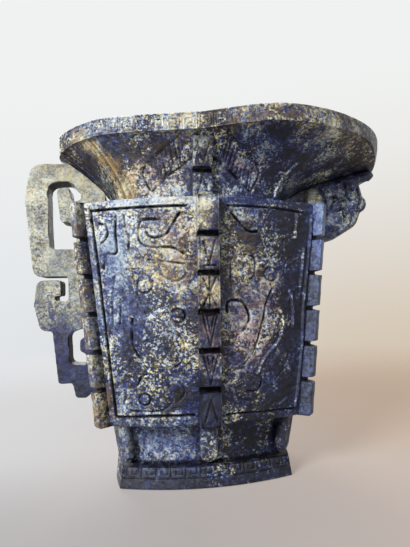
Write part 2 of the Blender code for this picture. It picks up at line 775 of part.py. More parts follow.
def build_neck(parts):
    base, rim, powers, tops, band_feet = neck_shape()
    tucks = spout_tucks()
    under_band = inset(rim, [BAND_STEP + tuck for tuck in tucks])
    bore = neck_base_outline(NECK_WALL)
    spigot = neck_base_outline(NECK_WALL - SPIGOT_WALL)
    mouth = inset(rim, RIM_WALL)
    rings = [ring(spigot, NECK_BASE)]
    for share in NECK_SHARES:
        rings.append(flared_ring(base, under_band, powers, share, NECK_BASE, band_feet))
    for share in BAND_SHARES:
        outline = inset(rim, [tuck * (1 - share) ** 2 for tuck in tucks])
        rings.append(ring(outline, [blend(foot, top, share) for foot, top in zip(band_feet, tops)]))
    rings.append(ring(mouth, tops))
    inner_feet = [foot + LIP_DROP for foot in band_feet]
    for share in reversed(NECK_SHARES):
        rings.append(flared_ring(bore, mouth, powers, share, NECK_BASE + LIP_DROP, inner_feet))
    spigot_foot = NECK_BASE - SPIGOT_DEPTH
    rings += [ring(bore, spigot_foot), ring(spigot, spigot_foot)]
    neck = mesh_object("neck", loft(rings, closed=True), parts)
    return finish_part(neck, LAPIS_BLUE)


def neck_front_line(steps):
    """The neck's middle front line as (distance forward, height) pairs."""
    base, rim, powers, _, band_feet = neck_shape()
    under_band = inset(rim, BAND_STEP)
    middle = 2 * OUTLINE_STEPS
    line = []
    for i in range(steps + 1):
        share = blend(NECK_FLANGE_START, NECK_FLANGE_END, i / steps)
        place = flared_ring(base, under_band, powers, share, NECK_BASE, band_feet)[middle]
        line.append((-place.y, place.z))
    return line


def neck_flange_outline(root, overrun):
    line = neck_front_line(NECK_FLANGE_STEPS)
    front = [(forward + NECK_FLANGE_REACH, height) for forward, height in line]
    middle = NECK_FLANGE_STEPS // 2
    forward, height = front[middle]
    front[middle : middle + 1] = [
        (forward, height - FLANGE_NOTCH_WIDTH / 2),
        (forward - NECK_FLANGE_NOTCH, height),
        (forward, height + FLANGE_NOTCH_WIDTH / 2),
    ]
    back = [(forward - root, height) for forward, height in reversed(line)]
    outline = front + back
    low, high = line[0][1], line[-1][1]
    return [
        (forward, height + overrun * ((height == high) - (height == low)))
        for forward, height in outline
    ]


def build_neck_flanges(neck, parts, cutters):
    for name, turn in (("neck_flange_front", -90.0), ("neck_flange_back", 90.0)):
        upright = Matrix.Rotation(math.radians(turn), 4, "Z") @ Matrix.Rotation(math.radians(90.0), 4, "X")
        strip = flat_slab(
            name, neck_flange_outline(NECK_FLANGE_ROOT - BOND_GAP, 0.0), NECK_FLANGE_THICKNESS, parts
        )
        strip.matrix_world = upright
        round_edges(strip, FLANGE_EDGE, segments=1)
        groove = as_cutter(
            flat_slab(
                name + "_groove",
                neck_flange_outline(NECK_FLANGE_ROOT, BOND_GAP),
                NECK_FLANGE_THICKNESS + 2 * BOND_GAP,
                cutters,
            )
        )
        groove.matrix_world = upright
        combine(neck, groove)
        finish_part(strip, LAPIS_FLANGE)


# The foot and its tongues


def foot_outline(drawn_in):
    return whole(bowed_half(FOOT_WIDTH - drawn_in, FOOT_DEPTH - drawn_in, FOOT_FRONT_BOW, FOOT_SIDE_BOW))


def build_foot(parts):
    rings = [
        ring(foot_outline(0.0), 0.0),
        ring(foot_outline(FOOT_BAND_SLOPE), FOOT_BAND),
        ring(foot_outline(FOOT_WAIST_INSET), FOOT_BAND),
        ring(foot_outline(FOOT_TOP_INSET), FOOT_HEIGHT),
        ring(tenon_outline(0.0), FOOT_HEIGHT),
        ring(tenon_outline(0.0), FOOT_HEIGHT + TENON_HEIGHT),
    ]
    return finish_part(mesh_object("foot", loft(rings), parts), LAPIS_BLUE)


def build_foot_flanges(foot, parts, cutters):
    waist, top = foot_outline(FOOT_WAIST_INSET), foot_outline(FOOT_TOP_INSET)
    steps = OUTLINE_STEPS
    places = {
        "foot_tongue_front": (2 * steps, -math.pi / 2),
        "foot_tongue_back": (6 * steps, math.pi / 2),
        "foot_tongue_front_left": (steps, math.pi + CORNER_FLANGE_ANGLE),
        "foot_tongue_front_right": (3 * steps, -CORNER_FLANGE_ANGLE),
        "foot_tongue_back_right": (5 * steps, CORNER_FLANGE_ANGLE),
        "foot_tongue_back_left": (7 * steps, math.pi - CORNER_FLANGE_ANGLE),
    }
    size = (FOOT_FLANGE_REACH, FOOT_FLANGE_ROOT, 0.0, FOOT_FLANGE_THICKNESS)
    for name, (index, angle) in places.items():
        low = Vector((*waist[index], FOOT_BAND))
        high = Vector((*top[index], FOOT_HEIGHT))
        along = (high - low).normalized()
        outward = Vector((math.cos(angle), math.sin(angle), 0.0))
        tongue = let_in_flange(
            name, low + along * FOOT_FLANGE_CLEAR, high, outward, size, 1, foot, parts, cutters
        )
        finish_part(tongue, LAPIS_FLANGE)


# The handle, the beast head and their pins


def neck_underside(distance, tip, band, power):
    """Height of the neck's underside in the middle plane, at a distance from the axis."""
    start = NECK_WIDTH + NECK_SIDE_BOW
    share = (distance - start) / (tip - BAND_STEP - start)
    return blend(NECK_BASE, RIM_LEVEL - band, min(share, 1.0) ** (1 / power))


def handle_ceiling(x):
    """Height that the handle may reach below the neck, at a distance from the axis."""
    underside = neck_underside(x, -RIM_POINTS[0][0], BAND_HANDLE_END, FLARE_POWER_HANDLE_END)
    return underside - HANDLE_RIM_CLEARANCE


def handle_crest():
    return body_side(BODY_TOP) + HANDLE_CREST_OUT


def handle_rise():
    """Room for the handle between the shoulder and the underside of the rim."""
    return handle_ceiling(handle_crest()) - BODY_TOP


def handle_outline(corners):
    placed = []
    for out, up, radius in in_millimetres(corners):
        if up > 0:
            up *= handle_rise() / HANDLE_DRAWN_RISE
        height = BODY_TOP + up
        placed.append((-body_side(min(height, BODY_TOP)) - out, height, radius))
    return placed


def handle_arm_end():
    return NECK_WIDTH + NECK_SIDE_BOW + HANDLE_ARM_CLEARANCE


def build_handle(parts):
    rest = BODY_TOP + BOND_GAP
    seat_foot = BODY_TOP - HANDLE_SEAT_DEPTH
    seat = [
        (-body_side(seat_foot) - BOND_GAP, seat_foot, 0.0),
        (-body_side(BODY_TOP) - BOND_GAP, rest, 0.0),
        (-handle_arm_end(), rest, 0.0),
    ]
    arm = []
    for i in range(HANDLE_ARM_STEPS + 1):
        x = blend(handle_arm_end(), handle_crest(), i / HANDLE_ARM_STEPS)
        arm.append((-x, handle_ceiling(x), 0.0))
    outer = rounded_outline(arm + handle_outline(HANDLE_OUTER) + seat)
    holes = [rounded_outline(handle_outline(hole)) for hole in (HANDLE_LOOP, HANDLE_GAP)]
    handle = upright_slab("scroll_handle", [outer] + holes, HANDLE_THICKNESS, parts)
    return finish_part(handle, LAPIS_GREY)


def spout_underside(x):
    return neck_underside(x, RIM_POINTS[-1][0] - SPOUT_TUCK, BAND_SPOUT, FLARE_POWER_SPOUT)


def boss(name, centre, radius, side, collection):
    """A flattened ball half sunk in one face of the head."""
    bm = bmesh.new()
    bmesh.ops.create_uvsphere(bm, u_segments=BOSS_SEGMENTS, v_segments=BOSS_RINGS, radius=radius)
    bmesh.ops.scale(bm, vec=(1.0, BOSS_FLATTENING, 1.0), verts=bm.verts)
    place = (centre[0], side * HEAD_THICKNESS / 2, centre[1])
    bmesh.ops.translate(bm, vec=place, verts=bm.verts)
    return as_cutter(mesh_object(name, bm, collection))


def head_outline():
    tip = RIM_POINTS[-1][0]
    end_face = body_side(BODY_TOP)
    corners = []
    for back, down, radius in in_millimetres(HEAD_CREST):
        corners.append((tip - back, spout_underside(tip - back) - down, radius))
    for out, up, radius in in_millimetres(HEAD_JAW):
        corners.append((end_face + out, BODY_TOP + up, radius))
    seat_foot = BODY_TOP - HEAD_SEAT_DEPTH
    corners.append((body_side(seat_foot) + BOND_GAP, seat_foot, 0.0))
    corners.append((end_face + BOND_GAP, BODY_TOP + BOND_GAP, 0.0))
    for i in range(HEAD_TOP_STEPS + 1):
        x = blend(end_face + HEAD_BACK_SLANT, tip - HEAD_TIP_SETBACK, i / HEAD_TOP_STEPS)
        corners.append((x, spout_underside(x) - HEAD_SPOUT_CLEARANCE, 0.0))
    return rounded_outline(corners)


def head_web_outline():
    start = NECK_WIDTH + NECK_SIDE_BOW + HEAD_WEB_START
    end = body_side(BODY_TOP) + HEAD_WEB_ROOT
    floor = BODY_TOP + HEAD_WEB_CLEARANCE
    corners = [(end, floor, 0.0), (start, floor, 0.0)]
    for i in range(HEAD_TOP_STEPS + 1):
        x = blend(start, end, i / HEAD_TOP_STEPS)
        corners.append((x, spout_underside(x) - HEAD_WEB_CLEARANCE, 0.0))
    return rounded_outline(corners)


def build_head(parts, cutters):
    centre = Vector((body_side(BODY_TOP) + HEAD_CENTRE[0] * MM, BODY_TOP + HEAD_CENTRE[1] * MM))
    head = pillow_slab("beast_head", head_outline(), centre, HEAD_THICKNESS, HEAD_ROUNDING, parts)
    web = upright_slab("head_web", [head_web_outline()], HEAD_WEB_THICKNESS, cutters)
    combine(head, as_cutter(web), "UNION")
    for name, (out, up, radius) in HEAD_BOSSES.items():
        centre = (body_side(BODY_TOP) + out * MM, BODY_TOP + up * MM)
        for side, face in ((-1, "_front"), (1, "_back")):
            combine(head, boss(name + face, centre, radius * MM, side, cutters), "UNION")
    return finish_part(head, LAPIS_DARK)


def build_pins(body, handle, head, parts, cutters):
    level = Vector((PIN_LENGTH / 2, 0.0, 0.0))
    upright = Vector((0.0, 0.0, TOP_PIN_LENGTH / 2))
    bond = BOND_GAP / 2
    pins = []
    depths = {"handle_pin_low": HANDLE_SEAT_DEPTH - LOW_PIN_RISE, "handle_pin_high": HIGH_PIN_DEPTH}
    for name, depth in depths.items():
        height = BODY_TOP - depth
        pins.append((name, Vector((-body_side(height) - bond, 0.0, height)), level, handle))
    arm_middle = (body_side(BODY_TOP) + handle_arm_end()) / 2
    pins.append(("handle_pin_top", Vector((-arm_middle, 0.0, BODY_TOP + bond)), upright, handle))
    height = BODY_TOP - HEAD_PIN_DEPTH
    pins.append(("head_pin", Vector((body_side(height) + bond, 0.0, height)), level, head))
    for name, middle, half, held in pins:
        pin = cylinder(name, PIN_RADIUS, middle - half, middle + half, parts)
        finish_part(pin, PIN_BRASS, BRASS_ROUGHNESS, 1.0)
        longer = half + half.normalized() * BOND_GAP
        bore = cylinder(name + "_bore", PIN_RADIUS + BOND_GAP, middle - longer, middle + longer, cutters)
        as_cutter(bore)
        combine(body, bore)
        combine(held, bore)


def main():
    clear_scene()
    parts = new_collection("lapis_pouring_vase")
    cutters = new_collection("cutters")
    body = build_body(parts, cutters)
    build_body_flanges(body, parts, cutters)
    carve_body(body)
    neck = build_neck(parts)
    build_neck_flanges(neck, parts, cutters)
    foot = build_foot(parts)
    build_foot_flanges(foot, parts, cutters)
    handle = build_handle(parts)
    head = build_head(parts, cutters)
    build_pins(body, handle, head, parts, cutters)


main()
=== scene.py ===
import math

import bmesh
import bpy
import numpy as np
from mathutils import Matrix, Vector


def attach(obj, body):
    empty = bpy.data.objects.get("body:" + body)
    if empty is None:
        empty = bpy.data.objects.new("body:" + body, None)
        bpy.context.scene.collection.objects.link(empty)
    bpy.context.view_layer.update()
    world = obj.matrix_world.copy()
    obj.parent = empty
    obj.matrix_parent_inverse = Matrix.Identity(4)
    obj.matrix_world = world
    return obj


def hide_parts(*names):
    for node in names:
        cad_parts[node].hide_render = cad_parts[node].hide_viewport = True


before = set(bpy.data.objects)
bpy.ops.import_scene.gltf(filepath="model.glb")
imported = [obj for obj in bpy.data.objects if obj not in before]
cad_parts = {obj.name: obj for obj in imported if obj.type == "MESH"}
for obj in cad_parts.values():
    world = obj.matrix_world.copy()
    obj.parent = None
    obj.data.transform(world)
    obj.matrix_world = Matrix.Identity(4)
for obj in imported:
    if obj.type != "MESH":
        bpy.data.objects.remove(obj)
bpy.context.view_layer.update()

MM = 0.001

# The part's own dimensions, in millimetres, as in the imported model
FOOT_HEIGHT = 24.8
BODY_BASE = 25.1
BODY_TOP = 113.2
NECK_BASE = 113.5
RIM_LEVEL = 147.6
BODY_TOP_SIZE = (49.4, 25.0, 14.0, 0.2)
BODY_BOTTOM_SIZE = (40.3, 23.5, 8.5, 0.2)
BODY_FLOOR = 37.1
NECK_SIZE = (33.0, 20.0, 6.0, 3.0)
NECK_WALL = 9.0
SPIGOT_WALL = 3.0
SPIGOT_DEPTH = 6.0
BOND_GAP = 0.3
RIM_POINTS = np.array((
    (-61.0, 0.0), (-59.0, -8.5), (-48.0, -21.5), (-34.0, -29.3), (0.0, -37.0),
    (28.0, -43.2), (52.0, -38.0), (72.0, -27.0), (84.3, -14.3), (90.4, 0.0),
))
RIM_ANCHORS = (0, 2, 4, 7, 9)
RIM_WALL = 5.0
RIM_RISE = 1.8
LIP_DROP = 5.0
SPOUT_TUCK = 2.4
BAND_STEP = 1.2
BAND_HEIGHTS = (9.5, 7.0, 7.0, 7.0, 13.0)
FLARE_POWERS = (1.6, 1.5, 3.2, 1.9, 1.8)
FOOT_SIZE = (35.2, 21.8, 6.2, 2.5)
FOOT_BAND = 8.4
FOOT_BAND_SLOPE = 1.0
FOOT_WAIST_INSET = 4.5
FOOT_TOP_INSET = 2.0
TENON_SIZE = (18.0, 10.0, 2.0, 2.0)
TENON_HEIGHT = 6.0

# Camera, measured from the photograph: place in millimetres, turns in degrees, focal length in pixels
CAMERA_PLACE = (-23.45, -203.97, 73.5)
CAMERA_YAW, CAMERA_PITCH, CAMERA_ROLL = -7.6, 3.45, -1.48
FOCAL_PIXELS = 442.0
IMAGE_HEIGHT = 547.0
SENSOR = 36.0


# Outlines: half of each runs from the handle end round the front to the spout end, and the back mirrors it


def blend(start, end, share):
    return start + (end - start) * share


def ease(value, low, high):
    share = np.clip((value - low) / (high - low), 0.0, 1.0)
    return share * share * (3 - 2 * share)


def spline(before, start, end, after, share):
    """A place between start and end, on a curve that also runs through the points beside them."""
    return 0.5 * (
        2 * start + (end - before) * share + (2 * before - 5 * start + 4 * end - after) * share**2
        + (3 * start - before - 3 * end + after) * share**3
    )


def whole(half):
    """Close a half outline, or a half row of values, by mirroring it to the back."""
    back = half[-2:0:-1]
    if half.ndim == 2:
        back = back * np.array((1.0, -1.0))
    return np.concatenate([half, back])


def whole_rows(rows):
    return np.concatenate([rows, rows[:, -2:0:-1]], 1)


def bowed(size, counts):
    """A four-sided outline with bowed sides: half width, half depth, bow of the front, bow of the ends."""
    width, depth, front_bow, side_bow = size
    ends, fronts = counts
    y = -depth * np.arange(ends) / ends
    left = np.stack([-width - side_bow * (1 - (y / depth) ** 2), y], 1)
    x = width * (np.arange(2 * fronts) / fronts - 1)
    front = np.stack([x, -depth - front_bow * (1 - (x / width) ** 2)], 1)
    y = depth * (np.arange(ends + 1) / ends - 1)
    right = np.stack([width + side_bow * (1 - (y / depth) ** 2), y], 1)
    return whole(np.vstack([left, front, right]))


def drawn_in(size, distance):
    width, depth, front_bow, side_bow = size
    return (width - distance, depth - distance, front_bow, side_bow)


def between(low, high, share):
    return tuple(blend(start, end, share) for start, end in zip(low, high))


def spans(counts):
    """Steps from mark to mark of a half outline, from the counts on half an end and on half a front."""
    ends, fronts = counts
    return (ends, fronts, fronts, ends)


def rim_outline(counts):
    """The rim through its points. Past its ends the half outline carries on as its own mirror image."""
    flip = np.array((1.0, -1.0))
    points = np.vstack([RIM_POINTS[1] * flip, RIM_POINTS, RIM_POINTS[-2] * flip])
    outline = []
    for first, second, steps in zip(RIM_ANCHORS, RIM_ANCHORS[1:], spans(counts)):
        for i in range(steps):
            share, index = math.modf(blend(first, second, i / steps))
            outline.append(spline(*points[int(index):int(index) + 4], share))
    return whole(np.array(outline + [RIM_POINTS[-1]]))


def eased_round(marks, counts):
    """Values round an outline, eased from each of five marks to the next."""
    values = []
    for start, end, steps in zip(marks, marks[1:], spans(counts)):
        values += [blend(start, end, (1 - math.cos(math.pi * i / steps)) / 2) for i in range(steps)]
    return whole(np.array(values + [marks[-1]]))


def outward(outline):
    along = np.roll(outline, -1, 0) - np.roll(outline, 1, 0)
    along /= np.linalg.norm(along, axis=1)[:, None]
    return np.stack([along[:, 1], -along[:, 0]], 1)


def inset(outline, distance):
    distance = np.broadcast_to(distance, len(outline))
    return outline - outward(outline) * distance[:, None]


def ring(outline, height):
    return np.column_stack([outline, np.broadcast_to(height, len(outline))])


def run_along(outline):
    """How far each point lies along an outline."""
    return np.concatenate([[0.0], np.cumsum(np.linalg.norm(np.diff(outline, axis=0), axis=1))])


# Carving: strokes are cut into or raised from a surface that is laid out flat


CURVE_STEPS = 6
FAR = 1e3
# Carved lines darken with their depth: dirt in them, together with painted shade where light does not reach
GROOVE_DIRT_AND_SHADE, UNDARKENED_DEPTH, DARKENING_RANGE = 0.82, 0.1, 0.6


def smooth_curve(points):
    points = np.asarray(points, float)
    points = np.vstack([2 * points[0] - points[1], points, 2 * points[-1] - points[-2]])
    share = np.linspace(0, 1, CURVE_STEPS, endpoint=False)[:, None]
    pieces = [spline(*four, share) for four in zip(points, points[1:], points[2:], points[3:])]
    return np.vstack(pieces + [points[-2:-1]])


def distance_to(where, curve, reach):
    """Distance of each point from a polyline, worked out only near it."""
    best = np.full(len(where), FAR)
    low, high = curve.min(0) - reach, curve.max(0) + reach
    near = np.flatnonzero(((where >= low) & (where <= high)).all(1))
    if not len(near):
        return best
    spot = where[near]
    found = np.full(len(near), FAR)
    for start, end in zip(curve, curve[1:]):
        span = end - start
        share = np.clip((spot - start) @ span / max(span @ span, 1e-9), 0, 1)[:, None]
        found = np.minimum(found, np.linalg.norm(spot - start - share * span, axis=1))
    best[near] = found
    return best


def laid_flat(across, heights):
    """Every place across at every height, one height after another."""
    return np.column_stack([np.tile(across, len(heights)), np.repeat(heights, len(across))])


class Relief:
    """Grooves, ribs and swells gathered over the points of a flat layout."""

    def __init__(self, where):
        self.where = where
        self.groove = np.zeros(len(where))
        self.rib = np.zeros(len(where))
        self.swell = np.zeros(len(where))
        self.wear = 1.0

    def gathered(self, kept, strokes, width, amount, straight=False):
        for stroke in strokes:
            curve = np.asarray(stroke, float) if straight else smooth_curve(stroke)
            profile = np.clip(1 - (2 * distance_to(self.where, curve, width) / width) ** 2, 0, 1)
            kept = np.maximum(kept, amount * profile)
        return kept

    def cut(self, strokes, width, depth, straight=False):
        self.groove = self.gathered(self.groove, strokes, width, depth * self.wear, straight)

    def ridge(self, strokes, width, height):
        self.rib = self.gathered(self.rib, strokes, width, height)

    def pad(self, strokes, width, height):
        self.swell = self.gathered(self.swell, strokes, width, height)

    def repeat_cut(self, stroke, pitch, length, height, line):
        """Cut a stroke over and over along a strip. It is given in shares of the pitch and the height."""
        for i in range(int(length / pitch)):
            placed = [((i + across) * pitch, up * height) for across, up in stroke]
            self.cut([placed], *line, straight=True)

    def ring_eyes(self, centres, radius, width, depth, boss):
        for centre in centres:
            far = np.linalg.norm(self.where - np.array(centre), axis=1)
            edge = np.clip(1 - (2 * np.abs(far - radius) / width) ** 2, 0, 1)
            self.groove = np.maximum(self.groove, depth * self.wear * edge)
            self.swell = np.maximum(self.swell, boss * np.clip(1 - (far / radius) ** 2, 0, 1))

    def height(self):
        return self.swell + self.rib - self.groove

    def dirt_and_shade(self):
        return GROOVE_DIRT_AND_SHADE * np.clip((self.groove - UNDARKENED_DEPTH) / DARKENING_RANGE, 0, 1)


WAVES, WAVE_SPREAD, WAVE_TURN = 7, (0.6, 1.6), 6.28


def unevenness(points, scale, seed):
    """Smooth hand-worked waviness, from a few fixed waves."""
    draw = np.random.RandomState(seed)
    total = np.zeros(points.shape[:-1])
    for _ in range(WAVES):
        way = draw.normal(size=3)
        way *= draw.uniform(*WAVE_SPREAD) / (np.linalg.norm(way) * scale)
        total += np.sin(points @ way * 2 * math.pi + draw.uniform(0, WAVE_TURN))
    return total / WAVES


def waviness(points, waves):
    """Waves added up, each given as an amount, a scale and a seed."""
    return sum(amount * unevenness(points, scale, seed) for amount, scale, seed in waves)


WEAR_MEAN, WEAR_SWING, WEAR_SCALE, WEAR_RANGE = 0.74, 0.9, 7.0, (0.3, 1.0)


def worn_depth(x, z, seed):
    """How much of its depth a carved line keeps from place to place."""
    uneven = unevenness(np.column_stack([x, np.zeros(len(x)), z]), WEAR_SCALE, seed)
    return np.clip(WEAR_MEAN + WEAR_SWING * uneven, *WEAR_RANGE)


# Stone tones painted on the points: how much paler, hazier and rustier the stone is there, and how dark with
# dirt and painted shade.
# Haze stands partly for a painted light-blue sheen of reflected light. Each patch is a centre, its radii and
# the amounts it adds, in hundredths. Rust below zero is bluer stone.
PATCHES = (
    ((-30, -36, 103), (20, 14, 12), (12, 22, 0)),
    ((-12, -38, 100), (10, 12, 12), (6, 4, 30)),
    ((-36, -31, 96), (4, 10, 14), (3, 45, -25)),
    ((-18, -38, 86), (11, 12, 8), (12, 0, 40)),
    ((-34, -32, 74), (8, 12, 16), (6, 36, -10)),
    ((-24, -36, 72), (7, 12, 7), (-24, 16, 0)),
    ((-26, -34, 56), (12, 12, 12), (-10, 4, -30)),
    ((-24, -34, 44), (16, 12, 12), (-8, -4, -10)),
    ((-13, -38, 34), (10, 12, 10), (-32, 0, 0)),
    ((-34, -30, 34), (9, 12, 10), (4, 0, -10)),
    ((-44, -28, 70), (3, 8, 40), (10, 34, 6)),
    ((-25, -34, 112.6), (28, 16, 2.2), (34, 32, -20)),
    ((22, -34, 112.6), (18, 16, 2.0), (-8, 14, -60)),
    ((14, -38, 92), (8, 12, 14), (-5, 4, 24)),
    ((30, -34, 102), (14, 12, 12), (-28, 0, -16)),
    ((18, -36, 64), (7, 12, 16), (22, 26, 28)),
    ((38, -30, 60), (12, 12, 50), (-32, 0, -25)),
    ((28, -34, 36), (16, 12, 14), (-30, 0, -20)),
    ((45, -28, 75), (5, 8, 45), (-44, 0, -50)),
    ((-2, -44, 108), (4, 8, 6), (45, 0, 16)),
    ((4, -43, 106), (2.5, 8, 8), (-10, 10, 0)),
    ((0, -42, 77), (6, 8, 6), (22, 0, 34)),
    ((0, -41, 62), (6, 8, 6), (-42, 10, 10)),
    ((0, -43, 92), (6, 8, 6), (-5, 4, 10)),
    ((0, -37, 34), (6, 8, 12), (-38, 6, -30)),
    ((-51, -27, 105), (6, 8, 8), (6, 0, 20)),
    ((-46, -26, 66), (5, 8, 26), (0, 6, 26)),
    ((-42, -26, 32), (6, 8, 10), (0, 0, 60)),
    # Painted reflection: these two patches make the front right corner flange paler and hazier, a light-blue
    # sheen of reflected light
    ((51, -27, 92), (6, 8, 34), (34, 95, -60)),
    ((44, -26, 40), (6, 8, 24), (0, 45, -20)),
    ((-40, -27, 144), (24, 14, 6), (31, 40, 16)),
    ((-10, -36, 144), (7, 14, 6), (30, 0, 34)),
    ((14, -40, 145), (14, 14, 6), (-6, 4, 28)),
    ((48, -36, 144), (26, 20, 7), (17, 0, 40)),
    # Painted shade: these three patches darken the spout's end, the wall under the spout, and the wall just
    # under the rim band on the handle side
    ((84, -14, 140), (18, 20, 14), (-19, 0, 6)),
    ((60, -20, 132), (26, 20, 9), (-11, 0, 6)),
    ((-24, -27, 134), (16, 10, 5), (-44, 0, 8)),
    ((-20, -28, 119), (14, 14, 6), (24, 16, 10)),
    ((-30, -24, 121), (4, 10, 6), (12, 0, 70)),
    ((20, -28, 121), (15, 14, 9), (-10, 14, -100)),
    ((30, -30, 138), (16, 14, 6), (-9, 0, -36)),
    ((-56, -6, 136), (14, 18, 14), (-13, 0, 10)),
    ((-20, -26, 17), (16, 14, 10), (11, 74, 0)),
    ((-28, -24, 4), (20, 14, 6), (-27, 0, 10)),
    ((22, -26, 17), (18, 14, 10), (-36, 0, -20)),
    ((0, -26, 3), (60, 30, 5), (-38, 4, -10)),
)
# Mauve patches: a centre, its radii and an amount in hundredths
BLUSHES = (
    ((17, -36, 60), (8, 12, 13), 85),
    ((26, -34, 74), (6, 12, 10), 45),
    ((-20, -27, 126), (9, 12, 7), 65),
    ((18, -28, 127), (9, 12, 6), 45),
    ((0, -41, 60), (6, 8, 12), 60),
    ((-12, -38, 92), (7, 12, 14), 35),
)
# The rusty facet at the handle end of the neck
FACET = ((-52, -18, 143), (-43, -22, 135), (-36, -22, 128), (-32, -21, 119))
FACET_RADIUS, FACET_REACH = 3.6, 3
FACET_TONE = np.array((0.16, 0.0, 0.95))


def to_front(points):
    """Points with the back ones mirrored to the front, because both are painted alike."""
    spot = points.reshape(-1, 3).copy()
    spot[:, 1] = -np.abs(spot[:, 1])
    return spot


def patch_share(spot, centre, radii):
    return np.exp(-(((spot - np.array(centre)) / np.array(radii)) ** 2).sum(1))


def blushes(points):
    spot = to_front(points)
    return np.clip(sum(amount / 100 * patch_share(spot, *patch) for *patch, amount in BLUSHES), 0, 1)


def tones(points, base, dirt_and_shade):
    spot = to_front(points)
    tone = np.tile(np.array((*base, 0.0)), (len(spot), 1))
    for *patch, amounts in PATCHES:
        tone[:, :3] += patch_share(spot, *patch)[:, None] * (np.array(amounts) / 100)
    far = distance_to(spot, np.array(FACET, float), FACET_RADIUS * FACET_REACH)
    tone[:, :3] += np.exp(-((far / FACET_RADIUS) ** 2))[:, None] * FACET_TONE
    tone[:, 3] = np.asarray(dirt_and_shade).reshape(-1)
    return np.clip(tone, (0.0, 0.0, -1.0, 0.0), 1.0)


def carved_tones(points, start, dirt_and_shade, paler_and_highlight):
    """Tones of a lofted block, with the dirt and painted shade of its carved rows and their paler stone,
    which is partly painted highlight.
    """
    soil_and_shade, pale = np.zeros(points.shape[:2]), np.zeros(points.shape[:2])
    soil_and_shade[start:start + len(dirt_and_shade)] = dirt_and_shade
    pale[start:start + len(paler_and_highlight)] = paler_and_highlight
    tone = tones(points, BASE_TONE, soil_and_shade)
    tone[:, 0] += pale.ravel()
    return tone


# Meshes


def loft_faces(rows, columns, closed):
    index = np.arange(rows * columns).reshape(rows, columns)
    low = index if closed else index[:-1]
    high = np.roll(index, -1, 0) if closed else index[1:]
    quads = np.stack([low, np.roll(low, -1, 1), np.roll(high, -1, 1), high], -1)
    faces = quads.reshape(-1, 4).tolist()
    if not closed:
        faces += [index[0].tolist(), index[-1].tolist()]
    return faces


def grid_normals(grid):
    around = np.roll(grid, -1, 1) - np.roll(grid, 1, 1)
    along = np.gradient(grid, axis=0)
    normal = np.cross(around, along)
    size = np.linalg.norm(normal, axis=2, keepdims=True)
    return normal / np.maximum(size, 1e-9)


SHARP_ANGLE, CAP_SHARE = math.radians(38.0), 0.5


def new_object(name, data):
    made = bpy.data.objects.new(name, data)
    bpy.context.scene.collection.objects.link(made)
    return made


def make_piece(name, points, faces, tone, material, node):
    mesh = bpy.data.meshes.new(name)
    mesh.from_pydata((points.reshape(-1, 3) * MM).tolist(), [], faces)
    editable = bmesh.new()
    editable.from_mesh(mesh)
    bmesh.ops.recalc_face_normals(editable, faces=editable.faces)
    editable.to_mesh(mesh)
    editable.free()
    attribute = mesh.color_attributes.new("tone", "FLOAT_COLOR", "POINT")
    attribute.data.foreach_set("color", tone.astype(np.float32).ravel())
    blush = mesh.attributes.new("blush", "FLOAT", "POINT")
    blush.data.foreach_set("value", blushes(points).astype(np.float32))
    mesh.shade_smooth()
    mesh.set_sharp_from_angle(angle=SHARP_ANGLE)
    mesh.materials.append(material)
    piece = new_object(name, mesh)
    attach(piece, "root")
    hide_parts(node)


def make_loft(name, points, tone, material, node, closed=False):
    """A piece of rings of points, capped at both ends or closed into a loop."""
    make_piece(name, points, loft_faces(*points.shape[:2], closed), tone, material, node)


# Materials


class Tree:
    """Short calls for building a node tree."""

    def __init__(self, owner):
        owner.use_nodes = True
        self.nodes = owner.node_tree.nodes
        self.links = owner.node_tree.links

    def add(self, kind, inputs=None, **settings):
        made = self.nodes.new(kind)
        for key, value in settings.items():
            setattr(made, key, value)
        for key, value in (inputs or {}).items():
            self.put(value, made.inputs[key])
        return made

    def put(self, value, socket):
        """Link a socket to a value that is one too, or else set it."""
        if isinstance(value, bpy.types.NodeSocket):
            self.links.new(value, socket)
        else:
            socket.default_value = value

    def math(self, operation, first, second, clamp=False):
        made = self.add("ShaderNodeMath", {0: first, 1: second}, operation=operation, use_clamp=clamp)
        return made.outputs[0]

    def swing(self, value, amount):
        """A value from 0 to 1, made to swing about zero by an amount."""
        return self.math("MULTIPLY", self.math("SUBTRACT", value, 0.5), amount)

    def fit(self, value, low, high, to_low=0.0, to_high=1.0):
        made = self.add(
            "ShaderNodeMapRange",
            {"Value": value, "From Min": low, "From Max": high, "To Min": to_low, "To Max": to_high},
            interpolation_type="SMOOTHSTEP",
        )
        return made.outputs["Result"]

    def mix(self, factor, first, second):
        return self.add("ShaderNodeMix", {0: factor, 6: first, 7: second}, data_type="RGBA").outputs[2]

    def ramp(self, value, stops):
        made = self.add("ShaderNodeValToRGB", {"Fac": value})
        elements = made.color_ramp.elements
        while len(elements) < len(stops):
            elements.new(1.0)
        for element, (stop, *shade) in zip(elements, stops):
            element.position = stop
            element.color = colour(*shade)
        return made.outputs["Color"]

    def noise(self, vector, scale, detail, roughness):
        made = self.add(
            "ShaderNodeTexNoise",
            {"Vector": vector, "Scale": scale, "Detail": detail, "Roughness": roughness},
        )
        return made.outputs["Fac"]


def colour(red, green, blue):
    """A colour given as it looks on screen, from 0 to 255."""
    made = []
    for value in (red, green, blue):
        value /= 255
        made.append(value / 12.92 if value <= 0.04045 else ((value + 0.055) / 1.055) ** 2.4)
    return (*made, 1.0)


def new_material(name):
    """A material, its tree, its shader and the place that its pattern goes by."""
    material = bpy.data.materials.new(name)
    tree = Tree(material)
    return material, tree, tree.nodes["Principled BSDF"], tree.add("ShaderNodeTexCoord").outputs["Object"]


